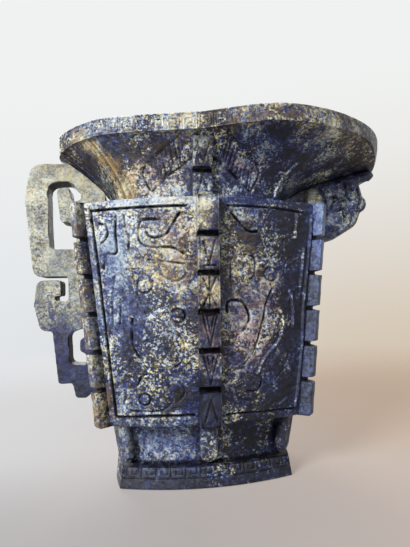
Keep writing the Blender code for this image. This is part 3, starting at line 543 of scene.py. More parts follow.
# Blue and brown grains from dark to pale, each a stop and its colour. Then haze with painted sheen, rust,
# mauve, and the dust and dirt
# colours, which also paint shade: soft shade beside carved lines and deep shade in their cores.
BLUES = (
    (0.00, 5, 6, 15), (0.20, 9, 12, 40), (0.36, 15, 23, 86), (0.48, 29, 43, 106), (0.60, 78, 97, 130),
    (0.78, 154, 171, 184), (1.00, 212, 219, 222),
)
BROWNS = (
    (0.00, 7, 7, 10), (0.20, 17, 17, 20), (0.36, 40, 38, 36), (0.50, 92, 86, 60), (0.64, 144, 134, 92),
    (0.80, 194, 184, 134), (1.00, 230, 222, 182),
)
HAZE_AND_SHEEN, OCHRE = colour(120, 140, 184), colour(168, 136, 82)
MAUVE_DARK, MAUVE = colour(34, 26, 48), colour(176, 146, 150)
DUST_AND_SOFT_SHADE, DIRT_AND_DEEP_SHADE = colour(38, 37, 42), colour(7, 7, 13)
# Noises of the stone: scale, detail and roughness
NOISES = {
    "regions": (70.0, 2.0, 0.5), "clouds": (110.0, 4.0, 0.6), "blotches": (540.0, 4.0, 0.68),
    "grit": (1800.0, 3.0, 0.7), "veins": (300.0, 4.0, 0.65), "hues": (640.0, 4.0, 0.7),
}
CELL_SCALE = 1350.0
# How far each swings the grain from dark to pale
GRIT_SWING, BLOTCH_SWING, CELL_SWING, CLOUD_SWING = 0.9, 1.2, 0.48, 1.6
# What a noise or a tone is stretched from and to
REGION_GRAIN, HAZE_AND_SHEEN_GRAIN = (0.36, 0.64, 0.6, 1.35), (0.1, 0.8, 1.0, 0.4)
HUE_RANGE = (0.45, 0.57)
HAZE_AND_SHEEN_PATCHES, RUST_VEINS = (0.36, 0.62, 0.05, 0.7), (0.42, 0.62, 0.0, 1.2)
MAUVE_GRAIN, MAUVE_VEINS = (0.2, 0.75), (0.40, 0.58, 0.15, 0.9)
SOIL_AND_SHADE_PATCHES, SOIL_AND_SHADE_SHINE = (0.34, 0.60, 1.15, 0.9), (0.05, 0.7, 0.4, 0.04)
DUST_AND_SOFT_SHADE_COVER, DIRT_AND_DEEP_SHADE_COVER, GRIT_RANGE = (0.02, 0.5, 0.0, 0.6), (0.35, 0.9, 0.0, 0.96), (0.30, 0.70)
# How much rust warms the stone and covers it, how far roughness varies, and the bumps of the surface
RUST_WARMTH, RUST_COVER, ROUGHNESS_BELOW, ROUGHNESS_ABOVE = 0.8, 0.7, 0.08, 0.12
BLOTCH_BUMP, BUMP_STRENGTH, BUMP_DISTANCE = 0.8, 0.7, 0.0005


def lapis(name, offset, contrast, variety, roughness):
    material, tree, shader, place = new_material(name)
    place = tree.add("ShaderNodeMapping", {"Vector": place, "Location": offset}).outputs["Vector"]
    tone = tree.add("ShaderNodeVertexColor", layer_name="tone")
    parts = tree.add("ShaderNodeSeparateColor", {"Color": tone.outputs["Color"]})
    pale, haze_and_sheen, rust = (parts.outputs[i] for i in range(3))
    blush = tree.add("ShaderNodeAttribute", attribute_name="blush").outputs["Fac"]
    cells = tree.add("ShaderNodeTexVoronoi", {"Vector": place, "Scale": CELL_SCALE})
    cell = tree.add("ShaderNodeSeparateColor", {"Color": cells.outputs["Color"]}).outputs[0]
    noise = {kind: tree.noise(place, *settings) for kind, settings in NOISES.items()}
    blotches, grit, veins = noise["blotches"], noise["grit"], noise["veins"]

    grain = tree.math(
        "ADD", tree.swing(grit, GRIT_SWING * contrast), tree.swing(blotches, BLOTCH_SWING * contrast)
    )
    grain = tree.math("ADD", grain, tree.swing(cell, CELL_SWING * contrast))
    grain = tree.math("MULTIPLY", grain, tree.fit(noise["regions"], *REGION_GRAIN))
    grain = tree.math("ADD", grain, tree.swing(noise["clouds"], CLOUD_SWING * contrast))
    grain = tree.math("MULTIPLY", grain, tree.fit(haze_and_sheen, *HAZE_AND_SHEEN_GRAIN))
    grain = tree.math("ADD", grain, pale)
    blue, brown = tree.ramp(grain, BLUES), tree.ramp(grain, BROWNS)

    warmth = tree.fit(noise["hues"], *HUE_RANGE, 0.5 - variety / 2, 0.5 + variety / 2)
    warmth = tree.math("ADD", warmth, tree.swing(noise["regions"], variety * contrast))
    warmth = tree.math("ADD", warmth, tree.math("MULTIPLY", rust, RUST_WARMTH))
    warmth = tree.math("SUBTRACT", warmth, haze_and_sheen, clamp=True)
    stone = tree.mix(warmth, blue, brown)
    # Haze also paints a light-blue sheen of reflected light here
    hazy_and_sheen = tree.math("MULTIPLY", haze_and_sheen, tree.fit(blotches, *HAZE_AND_SHEEN_PATCHES), clamp=True)
    rusty = tree.math("MULTIPLY", rust, tree.fit(veins, *RUST_VEINS), clamp=True)
    rusty = tree.math("MULTIPLY", rusty, RUST_COVER)
    mauve = tree.mix(tree.fit(grain, *MAUVE_GRAIN), MAUVE_DARK, MAUVE)
    blushed = tree.math("MULTIPLY", blush, tree.fit(veins, *MAUVE_VEINS), clamp=True)
    # Dirt and painted shade: the tone's alpha darkens lines, notches, strip sides and recesses, softly with
    # the dust colour and fully with the dirt colour
    soiled_and_shaded = tree.math("MULTIPLY", tone.outputs["Alpha"], tree.fit(blotches, *SOIL_AND_SHADE_PATCHES))
    dust_and_soft_shade, darkening = tree.fit(soiled_and_shaded, *DUST_AND_SOFT_SHADE_COVER), tree.fit(soiled_and_shaded, *DIRT_AND_DEEP_SHADE_COVER)
    layers = ((hazy_and_sheen, HAZE_AND_SHEEN), (rusty, OCHRE), (blushed, mauve), (dust_and_soft_shade, DUST_AND_SOFT_SHADE), (darkening, DIRT_AND_DEEP_SHADE))
    for cover, shade in layers:
        stone = tree.mix(cover, stone, shade)

    rough = tree.fit(grit, *GRIT_RANGE, roughness - ROUGHNESS_BELOW, roughness + ROUGHNESS_ABOVE)
    tree.put(stone, shader.inputs["Base Color"])
    tree.put(rough, shader.inputs["Roughness"])
    tree.put(tree.fit(soiled_and_shaded, *SOIL_AND_SHADE_SHINE), shader.inputs["Specular IOR Level"])
    bumps = tree.math("ADD", grit, tree.math("MULTIPLY", blotches, BLOTCH_BUMP))
    bump = tree.add(
        "ShaderNodeBump", {"Strength": BUMP_STRENGTH, "Distance": BUMP_DISTANCE, "Height": bumps}
    )
    tree.put(bump.outputs["Normal"], shader.inputs["Normal"])
    return material


BRASS_NOISE, BRASS_ROUGHNESS = (600.0, 4.0, 0.6), (0.3, 0.7, 0.25, 0.45)
BRASS_PALE, BRASS_DARK = colour(196, 160, 88), colour(150, 112, 56)


def brass(name):
    material, tree, shader, place = new_material(name)
    drawn = tree.noise(place, *BRASS_NOISE)
    tree.put(tree.mix(drawn, BRASS_PALE, BRASS_DARK), shader.inputs["Base Color"])
    tree.put(tree.fit(drawn, *BRASS_ROUGHNESS), shader.inputs["Roughness"])
    tree.put(1.0, shader.inputs["Metallic"])
    return material


# The stones: offset of the pattern, contrast, variety of hue and roughness. Then how pale, hazy with painted
# sheen, and rusty each is.
BLUE_STONE = lapis("lapis_blue_stone", (0.0, 0.0, 0.0), 1.15, 1.0, 0.34)
FLANGE_STONE = lapis("lapis_flange_stone", (0.31, 0.12, 0.07), 1.0, 0.9, 0.34)
GREY_STONE = lapis("lapis_grey_stone", (0.53, 0.27, 0.41), 0.42, 0.4, 0.42)
DARK_STONE = lapis("lapis_dark_stone", (0.77, 0.63, 0.19), 0.7, 0.7, 0.30)
BASE_TONE = (0.48, 0.04, 0.02)
FLANGE_TONE = (0.50, 0.08, 0.10)
GREY_TONE = (0.71, 0.06, 0.06)
DARK_TONE = (0.50, 0.16, -0.06)


# The body: front panels, end panels and their carving


# Lines carved into the body's faces, in hundredths of a face's half width and height: across from its middle
# and up from its foot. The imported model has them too, a little wider, except the fine lines, pads and ribs.
FRONT_FRAME = (
    (-16, 96), (-34, 96), (-52, 96), (-70, 96), (-91.5, 96), (-90, 66.5), (-89.5, 38.5), (-88.5, 4.5),
    (-70, 4.5), (-52, 5), (-34, 5), (-15, 5),
)
RIGHT_LINES = (
    ((16.5, 96), (34, 96), (51, 96), (68, 95.5), (85.5, 95)),
    ((16, 4.5), (34, 4.5), (52, 4), (70, 4), (89, 3.5)),
)
DEEP_LINES = (
    ((-71.5, 93), (-73, 85.5), (-73.5, 77), (-81, 76.5), (-84, 75), (-85.5, 70)),
    ((-37.5, 90.5), (-48, 90.5), (-52.5, 89.5), (-54.5, 86), (-54.5, 82), (-51.5, 79.5), (-43.5, 78.5),
     (-28, 78), (-19.5, 75.5)),
    ((-21.5, 93), (-29, 86.5), (-34, 83.5), (-41.5, 82.5), (-46.5, 83.5), (-48, 85)),
    ((-65, 47.5), (-66.5, 40.5), (-66, 35), (-58, 27.5)),
    ((19.5, 93), (29, 87.5), (35, 85), (42.5, 85)),
    ((16.5, 49.5), (16, 52), (18.5, 54.5), (28.5, 54), (34, 51), (36.5, 47), (35, 44), (29.5, 40.5),
     (23.5, 38), (20.5, 34), (16.5, 31)),
)
MEDIUM_LINES = (
    ((-85.5, 90), (-82, 89.5), (-79.5, 88), (-79, 85), (-82, 82.5), (-85.5, 81.5)),
    ((-65, 93), (-64.5, 88.5), (-62.5, 83), (-63.5, 76.5), (-60, 74.5), (-45.5, 73), (-19, 71)),
    ((-39.5, 70), (-38.5, 67), (-35, 65), (-29.5, 63.5), (-23, 64), (-18, 66.5)),
    ((-78.5, 63.5), (-76.5, 66.5), (-72, 67.5), (-68.5, 65.5)),
    ((-74, 56.5), (-74.5, 51.5), (-76, 45.5)),
    ((-77.5, 13.5), (-79.5, 10), (-74, 7.5), (-60, 7), (-44.5, 7.5), (-36.5, 10), (-37, 13)),
    ((-36.5, 42), (-26, 40), (-21.5, 34.5), (-24.5, 28.5), (-35.5, 25.5), (-47.5, 26.5)),
    ((-52, 23.5), (-60.5, 22.5), (-65.5, 18.5)),
    ((21, 78), (21.5, 74.5), (19.5, 70.5), (19.5, 64.5), (20.5, 59.5)),
    ((31, 74.5), (37.5, 74), (40.5, 72), (40.5, 66), (37.5, 64), (28, 63)),
    ((58, 59.5), (52, 52.5), (50.5, 47), (47, 39.5), (43, 32.5)),
    ((73, 73.5), (68.5, 69), (71, 64.5), (79, 62)),
    ((21.5, 23.5), (33, 24.5), (44.5, 22.5), (50.5, 18.5), (46.5, 14), (36, 14)),
)
FRONT_EYES = (
    ((-52.5, 62), 2.9), ((-26, 48.5), 2.6), ((-60, 12.3), 2.2), ((56, 66), 2.7), ((29.5, 30), 2.1),
)
FINE_LINES = (
    ((-59.5, 61), (-59, 58.5), (-56.5, 54), (-53, 48.5)),
    ((-61, 66.5), (-56, 67), (-49.5, 65.5), (-45.5, 63), (-46.5, 60.5)),
    ((-79, 61), (-81, 55.5), (-81.5, 49), (-83.5, 42.5)),
    ((-33.5, 20.5), (-25.5, 19), (-23, 15), (-29, 11)),
    ((22, 71.5), (24.5, 73.5), (31, 74.5)),
    ((48.5, 69), (54, 71.5), (60.5, 72)),
    ((57, 88.5), (59.5, 82.5), (63.5, 80), (67.5, 82)),
    ((74, 35), (78, 29.5), (74, 23), (65, 18)),
    ((27.5, 11), (42.5, 9.5), (53, 11)),
    ((43, 32.5), (37, 28.5), (34, 27.5)),
)
# Broad bands that stand a little proud between the lines
PADS = (
    ((-81.5, 92), (-80.5, 85), (-79.5, 79)),
    ((-46, 86), (-36, 80.5), (-24, 80)),
    ((-81, 60), (-79, 50), (-78, 41), (-74, 31)),
    ((-57, 46), (-59, 38), (-55, 31), (-44, 28)),
    ((27, 71), (34, 70), (33, 66), (26, 66)),
    ((45, 57), (43, 48), (37, 40), (28, 33)),
    ((60, 47), (59, 39), (52, 32)),
)
PAD = (6.5, 0.4)
# Raised lines. The last is the right edge of the panel's frame.
RIBS = (
    ((66, 50.5), (70, 45), (69, 38.5), (63, 33.5), (53, 28.5), (46, 21.5)),
    ((88, 78), (87.5, 69), (87, 59.5)),
    ((76, 58.5), (80, 50.5), (81, 41.5)),
    ((79, 94), (78.5, 83)),
    ((64.5, 6.5), (71, 7), (79, 9)),
    ((94.5, 93.5), (94, 76), (92, 55), (92.5, 34), (91.5, 17), (89, 4.5)),
)
END_FRAME = ((-52, 94.5), (-79, 94.5), (-77, 6.5), (-30, 6.5))
END_LINES = (
    ((-36, 69), (-54, 68), (-67, 74), (-63, 81.5), (-52, 82.5), (-49, 78)),
    ((-33, 37), (-54, 39.5), (-66, 46.5), (-62, 55.5), (-44, 58), (-34, 53), (-44, 49)),
    ((-34, 30.5), (-54, 28.5), (-63, 21.5), (-52, 14.5), (-37, 16), (-38, 21)),
)
# Width and depth of each kind of line, and width and height of the ribs
DEEP_LINE, MEDIUM_LINE, FINE_LINE, RIB = (1.4, 0.85), (1.2, 0.62), (1.0, 0.45), (1.4, 0.8)
EYE_BOSS = 0.5
FRONT_WEAR_SEED = 9
BODY_COUNTS, BODY_ROWS = (28, 144), 250
BODY_WAVES = ((0.14, 9.0, 3), (0.20, 4.2, 4))
EDGE, EDGE_SPAN = 0.7, 1.4
RIDGE_HIGHLIGHT, WORN_EDGE_PALE_AND_HIGHLIGHT, PROUD_EDGE_RISE = 0.16, 0.14, 0.2
BLUR_REACH = 3
BODY_TOP_SHARES, BORE_ROWS, BORE_START, FLOOR_SHARES = (0.1, 0.35, 0.7, 1.0), 9, 4.0, (0.6, 0.2)


def on_face(lines, part):
    """Lines given in hundredths of a face, as millimetres across and up."""
    placed = []
    for line in lines:
        across, up = np.array(line, float).T / 100
        half = blend(BODY_BOTTOM_SIZE[part], BODY_TOP_SIZE[part], up)
        placed.append(np.column_stack([across * half, blend(BODY_BASE, BODY_TOP, up)]))
    return placed


def front_relief(x, z):
    relief = Relief(np.column_stack([x, z]))
    relief.pad(on_face(PADS, 0), *PAD)
    relief.cut(on_face([FRONT_FRAME], 0), *DEEP_LINE, straight=True)
    relief.cut(on_face(RIGHT_LINES, 0), *MEDIUM_LINE, straight=True)
    relief.wear = worn_depth(x, z, FRONT_WEAR_SEED)
    relief.cut(on_face(DEEP_LINES, 0), *DEEP_LINE)
    relief.cut(on_face(MEDIUM_LINES, 0), *MEDIUM_LINE)
    relief.cut(on_face(FINE_LINES, 0), *FINE_LINE)
    relief.ridge(on_face(RIBS, 0), *RIB)
    for place, radius in FRONT_EYES:
        relief.ring_eyes(on_face([[place]], 0)[0], radius, *MEDIUM_LINE, EYE_BOSS)
    return relief


def end_relief(y, z):
    relief = Relief(np.column_stack([y, z]))
    relief.cut(on_face([END_FRAME], 1), *DEEP_LINE, straight=True)
    relief.cut(on_face(END_LINES, 1), *DEEP_LINE)
    return relief


def blurred(rows):
    """Rows of heights averaged with their neighbours, to find the edges that stand proud."""
    shifts = range(-BLUR_REACH, BLUR_REACH + 1)
    for axis in (0, 1):
        rows = sum(np.roll(rows, shift, axis) for shift in shifts) / len(shifts)
    return rows


def carved_body():
    """The body's outer points, with the dirt and painted shade in its lines, and its worn edges and ribs
    painted paler as worn stone and painted highlight.
    """
    ends, fronts = BODY_COUNTS
    half = 2 * (ends + fronts) + 1
    rows = []
    for share in np.linspace(0, 1, BODY_ROWS):
        outline = bowed(between(BODY_BOTTOM_SIZE, BODY_TOP_SIZE, share), BODY_COUNTS)
        rows.append(ring(outline, blend(BODY_BASE, BODY_TOP, share)))
    grid = np.stack(rows)
    x, y, z = (grid[:, :half, i].ravel() for i in range(3))
    front_face, end_face = front_relief(x, z), end_relief(y, z)
    column = np.tile(np.arange(half), BODY_ROWS)
    on_end = (column < ends) | (column > half - 1 - ends)

    def laid_out(at_end, at_front):
        return whole_rows(np.where(on_end, at_end, at_front).reshape(BODY_ROWS, half))

    height = laid_out(end_face.height(), front_face.height())
    dirt_and_shade = laid_out(end_face.dirt_and_shade(), front_face.dirt_and_shade())
    # Painted highlight: ribs and proud edges beside the lines are painted paler, as worn polished stone that
    # catches the light
    worn_and_highlit = RIDGE_HIGHLIGHT * laid_out(0.0, front_face.rib)
    worn_and_highlit += WORN_EDGE_PALE_AND_HIGHLIGHT * np.clip((height - blurred(height)) / PROUD_EDGE_RISE, 0, 1)
    height += waviness(grid, BODY_WAVES)
    rim_distance = np.minimum(grid[..., 2] - BODY_BASE, BODY_TOP - grid[..., 2])
    height -= EDGE * (1 - ease(rim_distance, 0.0, EDGE * EDGE_SPAN)) ** 2
    return grid + grid_normals(grid) * height[..., None] * np.array((1.0, 1.0, 0.0)), dirt_and_shade, worn_and_highlit


def build_body():
    grid, dirt_and_shade, worn_and_highlit = carved_body()
    bore = bowed(drawn_in(NECK_SIZE, NECK_WALL - SPIGOT_WALL - BOND_GAP), BODY_COUNTS)
    inside = [ring(blend(grid[-1, :, :2], bore, share), BODY_TOP) for share in BODY_TOP_SHARES]
    inside += [ring(bore, z) for z in np.linspace(BODY_TOP - BORE_START, BODY_FLOOR, BORE_ROWS)]
    inside += [ring(bore * share, BODY_FLOOR) for share in FLOOR_SHARES]
    socket = bowed(drawn_in(TENON_SIZE, -BOND_GAP), BODY_COUNTS)
    roof = FOOT_HEIGHT + TENON_HEIGHT + BOND_GAP
    under = [ring(socket * CAP_SHARE, roof), ring(socket, roof), ring(socket, BODY_BASE)]
    points = np.concatenate([np.stack(under), grid, np.stack(inside)])
    tone = carved_tones(points, len(under), dirt_and_shade, worn_and_highlit)
    make_loft("vase_body", points, tone, BLUE_STONE, "body")


# The neck: flared walls, rim band with a key fret, lip and bore


NECK_COUNTS = (44, 190)
WALL_SHARES, BAND_SHARES = np.linspace(0, 1, 44), np.linspace(0, 1, 20)
FUNNEL_SHARES = np.linspace(1, 0, 24)
STEP_SPAN, STEP_LOSS = (2.0, 16.0), 0.9
LAPPET_OUTER = ((-9.2, 139.4), (-14.0, 135.9), (-19.0, 132.1), (-22.9, 128.9))
LAPPET_INNER = ((-4.4, 131.1), (-9.2, 127.8), (-14.1, 124.4), (-20.3, 118.7))
LAPPET_END = ((-22.9, 128.9), (-24.2, 125.3), (-21.3, 119.2))
LAPPET_LINE, LAPPET_OUTER_LINE, LAPPET_WEAR_SEED = (1.5, 0.75), (1.3, 0.6), 13
HATCHES, HATCH_LEAN, HATCH_SHARES, HATCH_LINE = 10, 0.18, (0.12, 0.5, 0.88), (1.1, 0.46)
CREASE = ((41.5, 130.9), (36.4, 126.2), (33.4, 121.2), (32.1, 117.0))
CREASE_RIB, CREASE_FRONT, CREASE_HIGHLIGHT = (1.4, 0.6), -12.0, 0.7
STRIAE_SPAN, STRIAE_PITCH, STRIAE_DEPTH, STRIAE_DIRT = (38.0, 50.0), 1.6, 0.3, 0.34
STRIAE_SEED, STRIAE_DIRT_SWING = 17, 0.5
FRET = (
    (0.04, 0.10), (0.04, 0.92), (0.90, 0.92), (0.90, 0.12), (0.24, 0.12), (0.24, 0.68), (0.70, 0.68),
    (0.70, 0.36), (0.44, 0.36),
)
FRET_PITCH, FRET_LINE, FRET_SPAN, FRET_DIRT_AND_SHADE = 6.2, (0.75, 0.36), (6.0, 20.0), 0.7
NECK_WAVES = ((0.16, 8.0, 5),)
CHIP_SIZE, CHIP_SCALE, CHIP_SEED = 0.25, 3.0, 11
# Rows of the lip, from its outer edge to its inner one: inset, drop and share of the chips
LIP_ROWS = (
    (0.2, 0.25, 0.5), (EDGE, 0.0, 0.6), (RIM_WALL * 0.5, 0.1, 0.0), (RIM_WALL - EDGE, 0.0, 0.0),
    (RIM_WALL - 0.15, 0.3, 0.0),
)


def mirrored(strokes):
    return [[(-x, z) for x, z in stroke] for stroke in strokes]


def hatch_lines():
    """Short slanting lines between the two edges of a lappet."""
    outer_line, inner_line = smooth_curve(LAPPET_OUTER), smooth_curve(LAPPET_INNER)
    hatches = []
    for i in range(1, HATCHES):
        share = i / HATCHES
        start = outer_line[int(share * (len(outer_line) - 1))]
        end = inner_line[int(min(share + HATCH_LEAN, 1.0) * (len(inner_line) - 1))]
        hatches.append([blend(start, end, part) for part in HATCH_SHARES])
    return hatches


def wall_relief(spot):
    """The lappets on the neck's wall and the crease below its spout."""
    relief = Relief(spot[:, [0, 2]])
    relief.wear = worn_depth(spot[:, 0], spot[:, 2], LAPPET_WEAR_SEED)
    kinds = (
        ([LAPPET_INNER, LAPPET_END], LAPPET_LINE), ([LAPPET_OUTER], LAPPET_OUTER_LINE),
        (hatch_lines(), HATCH_LINE),
    )
    for strokes, line in kinds:
        relief.cut(strokes + mirrored(strokes), *line)
    relief.ridge([CREASE], *CREASE_RIB)
    relief.rib *= spot[:, 1] < CREASE_FRONT
    return relief


def carved_neck(rim, walls, band):
    """The neck's outer points, with the dirt and painted shade in its lines and the height of its crease."""
    outer = np.stack(walls + band)
    half = len(rim) // 2 + 1
    wall = wall_relief(outer[:len(walls), :half].reshape(-1, 3))
    along = run_along(rim[:half])
    at_end = ease(-rim[:half, 0], *STRIAE_SPAN)
    striae = unevenness(np.outer(along, (1.0, 0.0, 0.0)), STRIAE_PITCH, STRIAE_SEED)
    wall_height = wall.height().reshape(-1, half) + STRIAE_DEPTH * striae * at_end
    streaks = at_end * np.clip(STRIAE_DIRT - STRIAE_DIRT_SWING * striae, 0, 1)
    wall_dirt_and_shade = np.maximum(wall.dirt_and_shade().reshape(-1, half), streaks)
    fret_height = BAND_HEIGHTS[1]
    fret = Relief(laid_flat(along, BAND_SHARES * fret_height))
    fret.repeat_cut(FRET, FRET_PITCH, along[-1], fret_height, FRET_LINE)
    shown = 1 - ease(rim[:half, 0], *FRET_SPAN)
    band_height = fret.height().reshape(-1, half) * shown
    band_dirt_and_shade = fret.dirt_and_shade().reshape(-1, half) * shown * FRET_DIRT_AND_SHADE
    height = whole_rows(np.concatenate([wall_height, band_height]))
    dirt_and_shade = whole_rows(np.concatenate([wall_dirt_and_shade, band_dirt_and_shade]))
    height += waviness(outer, NECK_WAVES)
    normals = grid_normals(outer)
    normals[len(walls):, :, 2] = 0.0
    return outer + normals * height[..., None], dirt_and_shade, whole_rows(wall.rib.reshape(-1, half))


def build_neck():
    insets = (0.0, NECK_WALL, NECK_WALL - SPIGOT_WALL)
    base, bore, spigot = (bowed(drawn_in(NECK_SIZE, distance), NECK_COUNTS) for distance in insets)
    rim = rim_outline(NECK_COUNTS)
    marks = (FLARE_POWERS, BAND_HEIGHTS, (0.0, 0.0, 0.0, 0.0, SPOUT_TUCK))
    powers, bands, tuck = (eased_round(row, NECK_COUNTS) for row in marks)
    tops = RIM_LEVEL + RIM_RISE * np.sin(math.pi * np.clip(rim[:, 0] / RIM_POINTS[-1][0], 0, 1))
    feet = tops - bands
    step = BAND_STEP * (1 - STEP_LOSS * ease(rim[:, 0], *STEP_SPAN))
    under, mouth = inset(rim, step + tuck), inset(rim, RIM_WALL)

    def flared(low, high, share, start, finish):
        outline = low + (high - low) * (share ** powers)[:, None]
        return ring(outline, blend(start, finish, share))

    walls = [flared(base, under, share, NECK_BASE, feet) for share in WALL_SHARES]
    band = []
    for share in BAND_SHARES:
        band.append(ring(inset(rim, tuck * (1 - share) ** 2), blend(feet, tops - EDGE, share)))
    outer, dirt_and_shade, crease = carved_neck(rim, walls, band)
    chips = CHIP_SIZE * unevenness(ring(rim, tops), CHIP_SCALE, CHIP_SEED)
    lip = [ring(inset(rim, distance), tops - drop + chips * share) for distance, drop, share in LIP_ROWS]
    inside = [flared(bore, mouth, share, NECK_BASE + LIP_DROP, feet + LIP_DROP) for share in FUNNEL_SHARES]
    spigot_foot = NECK_BASE - SPIGOT_DEPTH
    inside += [ring(bore, spigot_foot), ring(spigot, spigot_foot), ring(spigot, NECK_BASE)]
    points = np.concatenate([outer, np.stack(lip + inside)])
    # Painted highlight: the crease below the spout is painted paler
    tone = carved_tones(points, 0, dirt_and_shade, CREASE_HIGHLIGHT * crease)
    make_loft("vase_neck", points, tone, BLUE_STONE, "neck", closed=True)


# The foot


FOOT_COUNTS = (24, 84)
# Insets and heights of the rows underneath, and shares and lifts of the rows on the shelf over the band
FOOT_UNDER = ((3.0, 0.0), (0.5, 0.0), (0.12, 0.15))
FOOT_SHELF = ((0.12, 0.12), (0.5, 0.2), (0.82, 0.35))
FOOT_BAND_SHARES, WAIST_SHARES = np.linspace(0.06, 1.0, 20), np.linspace(0.02, 1.0, 22)
WAIST_START, WAIST_SWEEP = 0.6, 1.1
MEANDER = ((0.05, 0.55), (0.05, 0.95), (0.80, 0.95), (0.80, 0.66), (0.40, 0.66), (0.40, 0.80))
MEANDER_PITCH, MEANDER_LINE, MEANDER_DIRT_AND_SHADE = 6.0, (0.9, 0.42), 0.7
LEVEL_LINE, LEVEL_LINE_HEIGHT = (0.9, 0.4), 3.9
# Painted shade on the top rows of the waist, under the body's overhang; the meander's lines hold dirt and
# painted shade
FOOT_TOP_SHADE, FOOT_TOP_REACH = 0.75, 2.4
# The shelf over the band is painted darker
SHELF_DARKENING, SHELF_MIDDLE, SHELF_FADE = 0.7, 0.5, (0.2, 1.1)
FOOT_WAVES = ((0.12, 8.0, 7),)


def build_foot():
    def row(distance, height):
        return ring(bowed(drawn_in(FOOT_SIZE, distance), FOOT_COUNTS), height)

    rows = [row(*place) for place in FOOT_UNDER]
    start, count = len(rows), len(FOOT_BAND_SHARES)
    rows += [row(FOOT_BAND_SLOPE * share, FOOT_BAND * share) for share in FOOT_BAND_SHARES]
    for share, lift in FOOT_SHELF:
        rows.append(row(blend(FOOT_BAND_SLOPE, FOOT_WAIST_INSET, share), FOOT_BAND + lift))
    for share in WAIST_SHARES:
        swept = blend(FOOT_WAIST_INSET, FOOT_TOP_INSET, share) + WAIST_SWEEP * math.sin(math.pi * share)
        rows.append(row(swept, blend(FOOT_BAND + WAIST_START, FOOT_HEIGHT, share)))
    grid = np.stack(rows)
    half = grid.shape[1] // 2 + 1
    along = run_along(grid[start, :half, :2])
    relief = Relief(laid_flat(along, FOOT_BAND_SHARES * FOOT_BAND))
    relief.repeat_cut(MEANDER, MEANDER_PITCH, along[-1], FOOT_BAND, MEANDER_LINE)
    level_line = ((0.0, LEVEL_LINE_HEIGHT), (along[-1], LEVEL_LINE_HEIGHT))
    relief.cut([level_line], *LEVEL_LINE, straight=True)
    height, soil_and_shade = np.zeros(grid.shape[:2]), np.zeros(grid.shape[:2])
    on_band = slice(start, start + count)
    height[on_band] = whole_rows(relief.height().reshape(count, half))
    soil_and_shade[on_band] = whole_rows(relief.dirt_and_shade().reshape(count, half)) * MEANDER_DIRT_AND_SHADE
    up = grid[..., 2]
    soil_and_shade = np.maximum(soil_and_shade, FOOT_TOP_SHADE * ease(up, FOOT_HEIGHT - FOOT_TOP_REACH, FOOT_HEIGHT))
    on_shelf = 1 - ease(np.abs(up - FOOT_BAND - SHELF_MIDDLE), *SHELF_FADE)
    soil_and_shade = np.maximum(soil_and_shade, SHELF_DARKENING * on_shelf)
    height[start:] += waviness(grid, FOOT_WAVES)[start:]
    grid = grid + grid_normals(grid) * height[..., None]
    tenon, tenon_top = bowed(TENON_SIZE, FOOT_COUNTS), FOOT_HEIGHT + TENON_HEIGHT
    top = np.stack([ring(tenon, FOOT_HEIGHT), ring(tenon, tenon_top), ring(tenon * CAP_SHARE, tenon_top)])
    points = np.concatenate([grid, top])
    soil_and_shade = np.concatenate([soil_and_shade, np.zeros(top.shape[:2])])
    make_loft("vase_foot", points, tones(points, BASE_TONE, soil_and_shade), BLUE_STONE, "foot")


# Flanges and tongues: strips made of level sections that stand out from a line on their host


SIDES = {"front": (0.0, -1.0), "back": (0.0, 1.0)}
CORNERS = {
    "front_left": (-1.0, -1.0), "front_right": (1.0, -1.0),
    "back_right": (1.0, 1.0), "back_left": (-1.0, 1.0),
}
CORNER_TURN = math.radians(38.0)
STRIP_CORNER, CORNER_SHARE, CORNER_EASE = 0.6, 0.4, 0.3
STRIP_WAVE, STRIP_WAVE_SCALE = 0.14, 4.0
NOTCH_SLOPE, END_ROUNDING, END_REACH = 0.6, 0.5, 0.8
# Painted shade in the notches between blocks and on the shaded sides of strips
MARK_DIRT_AND_SHADE, MARK_DEPTH, MARK_UNDARKENED, SHADED_NOTCH_DEPTH = 0.74, 0.42, 0.2, 1.2
SIDE_SHADE_RISE = (0.0, 0.40, 0.65, 1.0), (1.0, 0.95, 0.35, 0.0)
# How much painted shade darkens each side of a strip, beside it where its shadow falls
EVEN_SIDE_SHADE = (0.6, 0.6)
STRIP_SIDE_SHADE = {
    "flange_front": (0.4, 1.0), "flange_back": (0.4, 1.0), "flange_front_left": (0.5, 0.6),
    "flange_front_right": (0.0, 0.5), "flange_back_right": (0.5, 0.0), "flange_back_left": (0.6, 0.5),
}


def facing(x_side, y_side):
    turn = CORNER_TURN if x_side else math.pi / 2
    return (x_side * math.cos(turn), y_side * math.sin(turn))


def strip_points(line, way, halves, reaches, size, relief):
    """Sections round a strip: up one side, across the carved front, and back along the other."""
    across = np.array((-way[1], way[0]))
    rise = np.linspace(0, 1, size["side"])
    sections = []
    for base, half, reach, carved in zip(line, halves, reaches, relief):
        corner = min(STRIP_CORNER, half * CORNER_SHARE)
        up = blend(-size["root"], reach - corner, rise)
        edge = [reach - corner * CORNER_EASE]
        out = np.concatenate([up, edge, reach + carved, edge, up[::-1]])
        flank = np.append(np.full(size["side"], half), half - corner * CORNER_EASE)
        front = np.linspace(-1, 1, len(carved)) * (half - corner)
        side = np.concatenate([-flank, front, flank[::-1]])
        plan = base[:2] + np.outer(out, way) + np.outer(side, across)
        sections.append(ring(plan, base[2]))
    return np.stack(sections)


